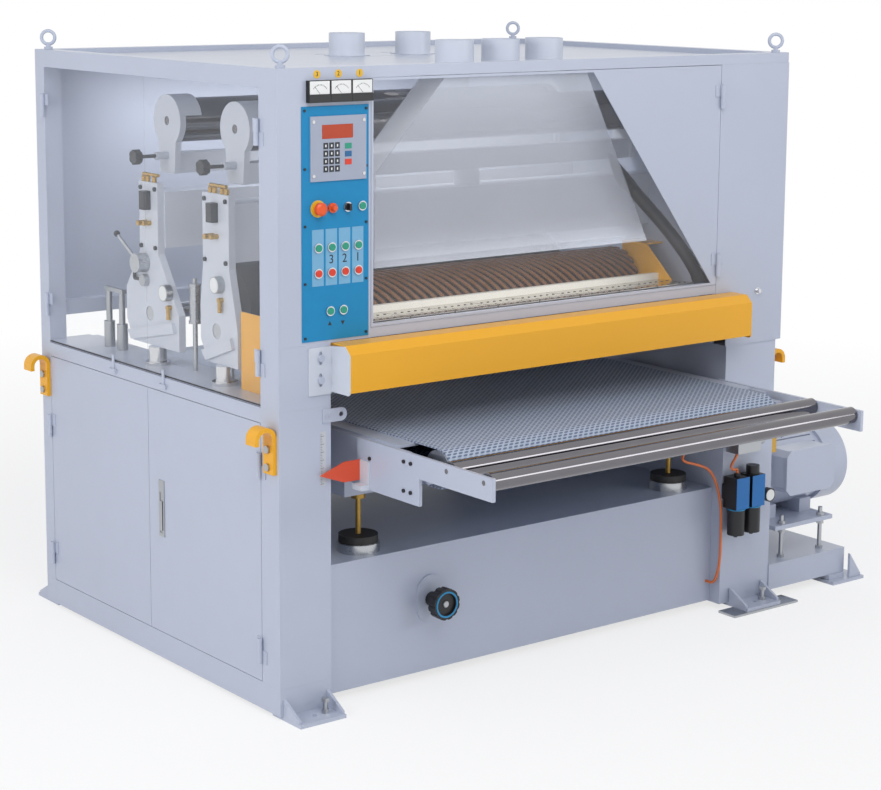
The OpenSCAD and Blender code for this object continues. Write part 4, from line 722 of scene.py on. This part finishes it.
class Workshop:
    """Keeps the materials and adds finished pieces to their bodies."""

    def __init__(self) -> None:
        """Start with no materials."""
        self.stock: Dict[int, Material] = {}

    def finish(self, finish: Finish, name: str) -> Material:
        """The material of a finish, made once."""
        if id(finish) not in self.stock:
            self.stock[id(finish)] = finish.material(name)
        return self.stock[id(finish)]

    def add(self, name: str, shape: Union[Solid, Mesh], finish: Finish, slot: str,
            body: Body = Body.MACHINE) -> Object:
        """Put a piece on a body.

        Args:
            name: Name of the piece.
            shape: Its solid or mesh, in the shared frame.
            finish: Its finish.
            slot: Material slot; not used.
            body: The body that carries it.

        Returns:
            The new object.
        """
        mesh = shape.mesh(name) if isinstance(shape, Solid) else shape
        piece = stand(name, mesh)
        mesh.materials.clear()
        mesh.materials.append(self.finish(finish, name + "_finish"))
        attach(piece, body.value)
        LOG.info("%s on %s, %d faces", name, body.value, len(mesh.polygons))
        return piece

    def dress_nodes(self) -> None:
        """Give every node of the frame its finish."""
        for node, finish in NODE_FINISH.items():
            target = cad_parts[node]
            material = self.finish(finish, node + "_finish")
            for place in target.material_slots:
                place.material = material
            if not target.material_slots:
                target.data.materials.append(material)


class Scatter(Workshop):
    """Workshop that also sets small parts on points, by Geometry Nodes."""

    def __init__(self) -> None:
        """Build both trees."""
        super().__init__()
        self.heads = self._tree("screw_heads", "GeometryNodeMeshCylinder",
                                {"Radius": "Radius", "Depth": "Depth", "Sides": "Vertices"})
        self.blocks = self._tree("small_blocks", "GeometryNodeMeshCube", {"Size": "Size"})

    def _tree(self, name: str, shape: str, sizes: Dict[str, str]) -> NodeTree:
        """Build a tree that instances a shape on points.

        Args:
            name: Name of the tree.
            shape: Node that makes the small part.
            sizes: Inputs of the tree that set its size, with the sockets they go to.

        Returns:
            The tree, with named inputs.
        """
        tree = bpy.data.node_groups.new(name, "GeometryNodeTree")
        tree.interface.new_socket("Geometry", in_out="OUTPUT", socket_type="NodeSocketGeometry")
        for label, kind in (("Points", "Geometry"), ("Radius", "Float"), ("Depth", "Float"),
                            ("Sides", "Int"), ("Size", "Vector"), ("Direction", "Vector"),
                            ("Finish", "Material")):
            tree.interface.new_socket(label, in_out="INPUT", socket_type="NodeSocket" + kind)
        inputs, part, turn, spread, real, paint, output = (tree.nodes.new(kind) for kind in (
            "NodeGroupInput", shape, "FunctionNodeAlignRotationToVector",
            "GeometryNodeInstanceOnPoints", "GeometryNodeRealizeInstances",
            "GeometryNodeSetMaterial", "NodeGroupOutput"))
        turn.axis = "Z"
        wires = [(inputs, source, part, target) for source, target in sizes.items()]
        wires += [(inputs, "Direction", turn, "Vector"), (inputs, "Points", spread, "Points"),
                  (part, "Mesh", spread, "Instance"), (turn, "Rotation", spread, "Rotation"),
                  (spread, "Instances", real, "Geometry"), (real, "Geometry", paint, "Geometry"),
                  (inputs, "Finish", paint, "Material"), (paint, "Geometry", output, "Geometry")]
        for start, source, end, target in wires:
            tree.links.new(start.outputs[source], end.inputs[target])
        return tree

    def _grow(self, name: str, tree: NodeTree, points: Sequence[Point], values: dict,
              finish: Finish, slot: str, body: Body = Body.MACHINE) -> None:
        """Run a tree on points and keep the plain mesh.

        Args:
            name: Name of the piece.
            tree: The tree.
            points: Points that carry the small parts.
            values: Inputs of the tree by name.
            finish: Finish of the small parts.
            slot: Material slot.
            body: Body that carries them.
        """
        seed = bpy.data.meshes.new(name + "_points")
        seed.from_pydata([tuple(p) for p in points], [], [])
        holder = stand(name + "_holder", seed)
        grow = holder.modifiers.new("grow", "NODES")
        grow.node_group = tree
        values["Finish"] = self.finish(finish, name + "_finish")
        for item in tree.interface.items_tree:
            if item.item_type == "SOCKET" and item.in_out == "INPUT" and item.name in values:
                grow[item.identifier] = values[item.name]
        holder.update_tag()
        mesh = bake(holder)
        mesh.name = name
        self.add(name, mesh, finish, slot, body)

    def screws(self, name: str, points: Sequence[Point], axis: Axis, radius: float, depth: float,
               finish: Finish, body: Body = Body.MACHINE, slot: str = "zinc_bolts") -> None:
        """Set screw heads on points, standing out along an axis.

        Args:
            name: Name of the piece.
            points: Points on the face that carries them.
            axis: Outward direction.
            radius: Radius of a head.
            depth: Height of a head.
            finish: Finish of the heads.
            body: Body that carries them.
            slot: Material slot.
        """
        out = Vector(axis.value) * (depth / 2)
        raised = [tuple(Vector(p) + out) for p in points]
        values = {"Radius": radius, "Depth": depth, "Sides": HEAD_SIDES, "Direction": axis.value}
        self._grow(name, self.heads, raised, values, finish, slot, body)

    def tiles(self, name: str, points: Sequence[Point], size: Point, finish: Finish, slot: str) -> None:
        """Set equal blocks on points of the machine, square to the frame."""
        values = {"Size": size, "Direction": Axis.UP.value}
        self._grow(name, self.blocks, points, values, finish, slot)


@dataclass
class ControlColumn:
    """Instruments, print and screws of the control column."""

    shop: Scatter
    plate_x: float = LEFT + 0.085
    plate_z: float = 1.175
    plate_w: float = 0.245
    face: float = FRONT - 0.003
    stations: Tuple[float, ...] = (0.057, 0.106, 0.155, 0.204)
    meter_x: float = LEFT + 0.103
    meter_w: float = 0.078
    meter_face: float = FRONT - 0.0162
    dial_z: Pair = (1.921, 1.960)
    arc_z: float = 1.919
    arc: float = 0.030
    disc_z: float = 1.9795
    controller_out: float = 0.005
    key_step: Pair = (0.0212, 0.0232)
    size_per_height: float = 1.35
    ink_half: float = 0.0003

    def at(self, x: float, z: float, out: float = 0.0) -> Point:
        """Point on the plate, out in front of its face."""
        return (self.plate_x + x, self.face - out, self.plate_z + z)

    def build(self) -> None:
        """Add every piece of the column."""
        self.meters()
        self.controller()
        self.markings()
        edges = [self.at(x, z) for x in (0.010, self.plate_w - 0.010)
                 for z in (0.012, 0.178, 0.352, 0.524, 0.698)]
        self.shop.screws("panel_screws", edges, Axis.FRONT, 0.0042, 0.003, BLACK)

    def numeral(self, name: str, text: str, height: float, at: Point) -> None:
        """Add a flat numeral in ink that faces the front.

        Args:
            name: Name of the piece, before its numeral.
            text: The numeral.
            height: Its height.
            at: Middle of its back.
        """
        curve = bpy.data.curves.new(name, "FONT")
        curve.body = text
        curve.size, curve.extrude = height * self.size_per_height, self.ink_half
        curve.align_x, curve.align_y = "CENTER", "CENTER"
        mesh = bake(stand(name + "_holder", curve))
        upright = Matrix.Rotation(math.radians(90), 4, "X")
        mesh.transform(Matrix.Translation(Vector(at)) @ upright)
        self.shop.add(name + "_" + text, mesh, INK, "black_plastic")

    def meters(self) -> None:
        """Dials, scales and needles of the ammeters and the numbered discs above them."""
        dials, ink, discs = Solid(), Solid(), Solid()
        front, (low, high) = self.meter_face, self.dial_z
        for i, text in enumerate("321"):
            x0 = self.meter_x + i * self.meter_w
            cx = x0 + self.meter_w / 2
            dials.box((x0 + 0.003, front - 0.0012, low),
                      (x0 + self.meter_w - 0.004, front + 0.0003, high), 0.0006)
            for k in range(11):
                a = math.radians(140 - 10 * k)
                mark = Vector((cx + self.arc * math.cos(a), front - 0.0013,
                               self.arc_z + self.arc * math.sin(a)))
                ink.box(mark - Vector((0.0006, 0.0004, 0.002)), mark + Vector((0.0006, 0.0002, 0.002)))
            needle = [Vector((cx + x, front - 0.0016, z)) for x, z in ((0, 1.922), (-0.019, 1.944))]
            ink.sweep(needle, 0.0005, 6)
            discs.rod((cx, FRONT, self.disc_z), Axis.FRONT, 0.0008, 0.0125, sides=DISC_SIDES)
            self.numeral("disc_number", text, 0.014, (cx, FRONT - 0.0009, self.disc_z))
        self.shop.add("ammeter_dials", dials, DIAL, "instrument")
        self.shop.add("ammeter_scales", ink, INK, "black_plastic")
        self.shop.add("number_discs", discs, PLATE_YELLOW, "yellow_paint")

    def controller(self) -> None:
        """Display, keys and corner screws of the thickness controller."""
        out, (across, down) = self.controller_out, self.key_step
        window = Solid().box(self.at(0.070, 0.612, out + 0.0010),
                             self.at(0.183, 0.654, out - 0.0005), 0.0005)
        self.shop.add("controller_display", window, DISPLAY, "button_red")
        for name, lift, size, finish, slot in (
                ("controller_keys", 0.0004, (0.0165, 0.0012, 0.0185), INK, "black_plastic"),
                ("controller_key_marks", 0.0011, (0.0045, 0.0004, 0.0075), DIAL, "instrument")):
            keys = [self.at(0.083 + across * c, 0.591 - down * r, out + lift)
                    for c in range(3) for r in range(4)]
            self.shop.tiles(name, keys, size, finish, slot)
        for name, z, finish, slot in (("controller_key_green", 0.588, GREEN, "button_green"),
                                      ("controller_key_blue", 0.564, KEY_BLUE, "panel_blue"),
                                      ("controller_key_red", 0.540, RED, "button_red")):
            key = Solid().box(self.at(0.153, z - 0.0085, out + 0.0012),
                              self.at(0.178, z + 0.0085, out - 0.0002), 0.0006)
            self.shop.add(name, key, finish, slot)
        corners = [self.at(x, z, out) for x in (0.039, 0.223) for z in (0.502, 0.664)]
        self.shop.screws("controller_screws", corners, Axis.FRONT, 0.0055, 0.0025, BRIGHT)

    def markings(self) -> None:
        """Pale station strips, numerals and arrows of the panel."""
        strips = [self.at(x, 0.254, 0.0002) for x in self.stations]
        self.shop.tiles("station_strips", strips, (0.042, 0.0006, 0.172), PALE_BLUE, "panel_blue")
        for x, text in zip(self.stations[1:], "321"):
            self.numeral("station_number", text, 0.028, self.at(x, 0.246, 0.0006))
        arrows = Solid()
        for x, sign in ((0.100, 1), (0.148, -1)):
            c = Vector(self.at(x, 0.050, 0.0003))
            arrows.bm.faces.new([arrows.bm.verts.new(c + Vector((dx, -0.0003, sign * dz)))
                                 for dx, dz in ((-0.007, -0.005), (0.007, -0.005), (0.0, 0.008))])
        self.shop.add("table_arrows", arrows, INK, "black_plastic")


@dataclass
class BodyTrim:
    """Screws, scale, seal and small fittings of the body."""

    shop: Scatter
    wheel_x: float = LEFT + 0.617
    wheel_z: float = 0.268
    scale_x: Pair = (LEFT + 0.150, LEFT + 0.172)
    scale_z: Pair = (0.722, 0.892)
    stud_x: float = 0.979
    stud_z: float = 1.157
    screw_radius: float = 0.007
    screw_depth: float = 0.004

    def build(self) -> None:
        """Add every piece of trim."""
        self.scale()
        self.panel_screws()
        self.seal()
        wheel = Solid().ring((self.wheel_x, -0.8035, self.wheel_z), Axis.FRONT, 0.0405, 0.0032)
        self.shop.add("handwheel_ring", wheel, RING_BLUE, "panel_blue", Body.WHEEL)
        hub = Solid().rod((self.wheel_x, -0.7965, self.wheel_z), Axis.FRONT, 0.004, 0.012, 0.010,
                          bevel=0.001)
        self.shop.add("handwheel_cap", hub, ZINC, "zinc_bolts", Body.WHEEL)
        stud = Solid().rod((self.stud_x, FRONT, self.stud_z), Axis.FRONT, 0.004, 0.013, bevel=0.001)
        stud.rod((self.stud_x, FRONT - 0.004, self.stud_z), Axis.FRONT, 0.011, 0.0085, 0.0075, bevel=0.001)
        self.shop.add("panel_stud", stud, BRIGHT, "zinc_bolts")
        dial = Solid().rod((1.021, -0.8222, 0.412), Axis.FRONT, 0.0010, 0.0205, sides=DISC_SIDES)
        self.shop.add("pressure_dial", dial, DIAL, "instrument")
        collars = Solid()
        for x in (0.866, 0.945):
            collars.ring((x, -0.8042, 0.3815), Axis.UP, 0.0312, 0.0026)
        self.shop.add("bowl_rings", collars, RING_BLUE, "panel_blue")

    def scale(self) -> None:
        """Graduated height scale on the front post."""
        (x0, x1), (z0, z1) = self.scale_x, self.scale_z
        strip = Solid().box((x0, FRONT - 0.0008, z0), (x1, FRONT, z1))
        self.shop.add("height_scale", strip, SCALE_GREY, "instrument")
        for name, count, step, x, size in (
                ("scale_fine_marks", 32, 0.005, 0.0045, (0.007, 0.0004, 0.0007)),
                ("scale_long_marks", 7, 0.025, 0.0075, (0.013, 0.0004, 0.0012))):
            marks = [(x0 + x, FRONT - 0.0009, z0 + 0.006 + step * k) for k in range(count)]
            self.shop.tiles(name, marks, size, INK, "black_plastic")

    def panel_screws(self) -> None:
        """Screws that hold the covers and arms."""
        rear = [(x, LAY.back, z) for x in (-0.98, -0.64, -0.3, 0.04, 0.38, 0.72, 1.02)
                for z in (1.135, 1.92)]
        side = [(LAY.right, y, z) for y in (-0.66, -0.33, 0.0, 0.33, 0.66) for z in (1.035, 1.92)]
        cover = [(LAY.column + 0.0032, y, z) for y in (-0.62, -0.31, 0.0, 0.31, 0.62) for z in (0.16, 0.93)]
        for name, points, axis in (("rear_panel_screws", rear, Axis.BACK),
                                   ("drive_panel_screws", side, Axis.RIGHT),
                                   ("lower_cover_screws", cover, Axis.RIGHT)):
            self.shop.screws(name, points, axis, self.screw_radius, self.screw_depth, ZINC)
        spots = ((-0.27, 0.825), (-0.235, 0.825), (-0.27, 0.735), (-0.235, 0.735),
                 (-0.06, 0.80), (-0.02, 0.73))
        for name, x, axis in (("arm_screws_left", LAY.arm, Axis.LEFT),
                              ("arm_screws_right", LAY.arm_right, Axis.RIGHT)):
            arm = [(x, FRONT + y, z) for y, z in spots]
            self.shop.screws(name, arm, axis, 0.006, 0.005, BLACK, Body.TABLE)

    def seal(self) -> None:
        """Dark seal under the side doors."""
        dark = Solid().box((LEFT + 0.0005, FRONT + 0.1025, 0.9745),
                           (LEFT + 0.0045, LAY.back - 0.067, 0.9775))
        self.shop.add("side_door_seal", dark, RUBBER, "rubber_black")


@dataclass
class HeadTrim:
    """Dials and bolts of the sanding heads, and dark discs of painted shade for the holes of the pressure
    shoes.
    """

    shop: Scatter
    shoes: int = 8
    shoes_length: float = 1.424
    shoe_slope: float = 0.0656

    def build(self) -> None:
        """Add the dials, the bolts of both heads and the dark discs that paint the shade of the holes."""
        dials = Solid()
        for y, z in ((FORE - 0.026, 1.298), (REAR - 0.127, 1.231)):
            dials.rod((LAY.end_plate - 0.0242, y, z), Axis.LEFT, 0.0012, 0.0240, sides=DISC_SIDES)
        self.shop.add("gauge_dials", dials, DIAL, "instrument")
        bolts = [(LAY.end_plate, y + dy, z) for y, half in ((FORE, 0.062), (REAR, 0.046))
                 for dy in (-half, half) for z in (1.565, 1.37)]
        self.shop.screws("head_bolts", bolts, Axis.LEFT, 0.0075, 0.006, DARK_STEEL)
        first, step = LAY.middle - self.shoes_length / 2, self.shoes_length / self.shoes
        # Dark discs stand on the shoes where their holes are: painted shade of the holes.
        dots = [(first + step * (i + 0.12 + 0.152 * k), FRONT + y, 1.201 - self.shoe_slope * (y - 0.072))
                for i in range(self.shoes) for k in range(6) for y in (0.095, 0.185)]
        self.shop.screws("shoe_holes", dots, Axis.UP, 0.0045, 0.0012, INK, slot="black_plastic")


@dataclass
class Hoses:
    """Dust hose and air tubes along their routes."""

    shop: Workshop
    hose_radius: float = 0.0226
    cuff_radius: float = 0.0248
    cuff_lengths: Pair = (0.095, 0.105)
    cuff_sides: int = 32
    overlap: float = 0.001
    falls: Pair = (42.0, 58.0)
    hood_run: float = 0.312
    hood_rise: float = 0.6298
    hose_parts: int = 48
    bend_parts: int = 8
    tube_radius: float = 0.0049

    def route(self, points: Sequence[Point]) -> List[Vector]:
        """Smooth a route of points with parabolic bends.

        Args:
            points: Given points.

        Returns:
            Points of the smooth route.
        """
        p = [Vector(q) for q in points]
        path = [p[0]]
        for i in range(1, len(p) - 1):
            a, c = (p[i - 1] + p[i]) / 2, (p[i] + p[i + 1]) / 2
            for k in range(self.bend_parts + 1):
                t = k / self.bend_parts
                q = (1 - t) ** 2 * a + 2 * t * (1 - t) * p[i] + t * t * c
                if (q - path[-1]).length > self.overlap:
                    path.append(q)
        path.append(p[-1])
        return path

    def cuff(self, solid: Solid, tip: Vector, along: Vector, length: float, face: Vector) -> None:
        """Add a round cuff that ends flat on a wall.

        Args:
            solid: Builder that takes the cuff.
            tip: Point of its axis on the wall.
            along: Direction away from the wall.
            length: Length of the axis.
            face: Normal of the wall.
        """
        radius, lip, step, gap = self.cuff_radius, 0.003, 0.002, 0.0002
        side = along.orthogonal().normalized()
        rings: List[List[BMVert]] = [[], [], []]
        for spoke in spokes(side, along.cross(side), self.cuff_sides):
            foot = tip + radius * spoke
            foot -= along * ((foot - tip).dot(face) / along.dot(face))
            for ring, point in zip(rings, (foot + face * gap,
                                           tip + along * (length - lip) + radius * spoke,
                                           tip + along * length + (radius - step) * spoke)):
                ring.append(solid.bm.verts.new(point))
        solid.skin(rings)

    def dust_hose(self) -> Object:
        """Black hose from the hood to the drive-side wall, with a cuff at each end."""
        lean = math.atan2(self.hood_run, self.hood_rise)
        start = Vector((LAY.middle - 0.025 + 0.590 - self.hood_run * 0.25 / self.hood_rise,
                        FRONT + 0.190, 1.6))
        end = Vector((LAY.right - 0.285, FRONT + 0.091, 1.134))
        fall_a, fall_b = (Vector((math.cos(a), 0.0, -math.sin(a))) for a in map(math.radians, self.falls))
        upper, lower = self.cuff_lengths
        a = start + fall_a * (upper - self.overlap)
        b = end - fall_b * (lower - self.overlap)
        reach = (b - a).length
        path = []
        for i in range(self.hose_parts + 1):
            t = i / self.hose_parts
            path.append((2 * t ** 3 - 3 * t ** 2 + 1) * a + (3 * t ** 2 - 2 * t ** 3) * b
                        + (t ** 3 - 2 * t ** 2 + t) * reach * fall_a + (t ** 3 - t ** 2) * reach * fall_b)
        hose = Solid().sweep(path, self.hose_radius, 28)
        self.cuff(hose, start, fall_a, upper, Vector((math.cos(lean), 0.0, math.sin(lean))))
        self.cuff(hose, end, -fall_b, lower, Vector(Axis.LEFT.value))
        return self.shop.add("dust_hose", hose, HOSE_BLACK, "hose")

    def air_tubes(self) -> Object:
        """Orange air tube down the column and the loop at the filter-regulator."""
        right, reg = LAY.right, -0.8042
        air = [(right - x, FRONT + y, z) for x, y, z in (
            (0.2702, 0.065, 0.600), (0.347, 0.065, 0.600), (0.417, 0.055, 0.592),
            (0.438, 0.045, 0.566), (0.367, 0.030, 0.548), (0.311, 0.015, 0.519),
            (0.283, -0.003, 0.411), (0.281, -0.005, 0.300), (0.281, -0.005, 0.194),
            (0.281, 0.005, 0.141), (0.290, 0.015, 0.100), (0.290, 0.0548, 0.100))]
        loop = [(0.860, reg, 0.5848), (0.860, reg, 0.576), (0.846, reg - 0.002, 0.563),
                (0.830, reg - 0.002, 0.543), (0.842, reg, 0.526), (0.866, reg, 0.528), (0.866, reg, 0.5122)]
        tubes = Solid()
        for points in (air, loop):
            tubes.sweep(self.route(points), self.tube_radius, 12)
        return self.shop.add("air_tubes", tubes, TUBE_ORANGE, "hose")

    def build(self) -> None:
        """Make the hose and the air tubes, which replace the plain solids."""
        black = self.dust_hose()
        orange = self.air_tubes()
        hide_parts("hoses")
        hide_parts("hoses")


@dataclass(frozen=True)
class Lamp:
    """A soft lamp that points at a target, seen in bright metal or not."""

    name: str
    at: Point
    target: Point
    size: Pair
    power: float
    mirrored: bool = False

    def build(self) -> None:
        """Add the lamp to the scene."""
        data = bpy.data.lights.new(self.name, "AREA")
        data.shape = "RECTANGLE"
        data.size, data.size_y = self.size
        data.energy = self.power
        lamp = stand(self.name, data)
        look = (Vector(self.target) - Vector(self.at)).to_track_quat("-Z", "Y")
        lamp.matrix_world = Matrix.Translation(Vector(self.at)) @ look.to_matrix().to_4x4()
        lamp.visible_camera, lamp.visible_glossy = False, self.mirrored


# Four lamps stand round the machine and four weak ones in its upper body.
LAMPS = (
    Lamp("key_lamp", (-1.6, -4.2, 5.0), (0.0, -0.4, 1.4), (3.0, 3.0), 105.0, True),
    Lamp("fill_lamp", (3.3, -5.9, 2.6), (0.1, -0.6, 1.2), (3.8, 1.3), 54.0, True),
    Lamp("left_lamp", (-5.5, -0.8, 2.7), (-0.6, 0.0, 1.3), (2.6, 2.0), 84.0),
    Lamp("back_lamp", (3.5, 4.5, 4.5), (0.0, 0.0, 1.2), (3.0, 3.0), 45.0),
    Lamp("front_bay_lamp", (0.05, -0.68, 1.93), (0.05, -0.45, 1.2), (1.3, 0.1), 0.8),
    Lamp("drum_lamp", (0.05, -0.70, 1.33), (0.05, -0.45, 1.13), (1.3, 0.06), 0.9),
    Lamp("middle_bay_lamp", (0.0, -0.09, 1.92), (0.0, -0.09, 1.2), (1.2, 0.2), 5.0),
    Lamp("rear_bay_lamp", (-0.1, 0.45, 1.86), (-0.1, 0.70, 1.3), (1.4, 0.2), 4.5),
)


@dataclass
class Studio:
    """Camera, lamps, floor and background."""

    eye: Point = (-4.5013, -5.9909, 2.3251)
    yaw: float = 37.779
    pitch: float = 9.362
    roll: float = 0.377
    lens: float = 86.71
    sensor: float = 36.0
    shift: float = -0.10
    floor_half: float = 40.0
    floor_colour: Colour = (0.94, 0.94, 0.95)
    floor_white: float = 0.72
    fade_start: float = 2.2
    fade_rate: float = 0.26
    sky_colour: Colour = (0.93, 0.95, 1.0)
    sky_light: float = 0.50

    def build(self) -> None:
        """Set the camera and the light."""
        self.camera()
        for lamp in LAMPS:
            lamp.build()
        self.floor()
        self.world()
        bpy.context.scene.view_settings.view_transform = "Standard"

    def camera(self) -> None:
        """Camera at the photograph's angle."""
        yaw, pitch, roll = (math.radians(v) for v in (self.yaw, self.pitch, self.roll))
        turn = (Matrix.Rotation(-yaw, 4, "Z") @ Matrix.Rotation(math.pi / 2 - pitch, 4, "X")
                @ Matrix.Rotation(roll, 4, "Z"))
        data = bpy.data.cameras.new("camera")
        data.lens, data.sensor_width, data.sensor_fit = self.lens, self.sensor, "HORIZONTAL"
        data.shift_y = self.shift
        camera = stand("camera", data)
        camera.matrix_world = Matrix.Translation(Vector(self.eye)) @ turn
        bpy.context.scene.camera = camera

    def floor(self) -> None:
        """Pale floor that keeps the shadow and turns white further out."""
        mesh = bpy.data.meshes.new("floor")
        corners = ((-1, -1), (1, -1), (1, 1), (-1, 1))
        mesh.from_pydata([(x * self.floor_half, y * self.floor_half, 0.0) for x, y in corners], [],
                         [(0, 1, 2, 3)])
        floor = stand("floor", mesh)
        finish = bpy.data.materials.new("floor_finish")
        mesh.materials.append(finish)
        g = Graph(finish)
        shade = g.node("ShaderNodeBsdfDiffuse", {"Color": self.floor_colour})
        glow = g.node("ShaderNodeEmission", {"Color": EVEN, "Strength": 1.0})
        x, y, _ = g.xyz()
        far = (((x * x + y * y).math("SQRT") - self.fade_start) * self.fade_rate).clip()
        white = self.floor_white + (1 - self.floor_white) * far
        g.close(g.blend(g.seen() * white, shade, glow))

    def world(self) -> None:
        """White background with plain light."""
        world = bpy.data.worlds.new("studio")
        bpy.context.scene.world = world
        g = Graph(world)
        light = g.node("ShaderNodeBackground", {"Color": self.sky_colour, "Strength": self.sky_light})
        white = g.node("ShaderNodeBackground", {"Color": EVEN})
        g.close(g.blend(g.seen(), light, white), "ShaderNodeOutputWorld")


def main() -> None:
    """Build the scene in order."""
    logging.basicConfig(level=logging.INFO, format="%(message)s")
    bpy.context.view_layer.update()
    Studio().build()
    shop = Scatter()
    shop.dress_nodes()
    for part in (Hoses(shop), ControlColumn(shop), BodyTrim(shop), HeadTrim(shop)):
        part.build()


if __name__ == "__main__":
    main()
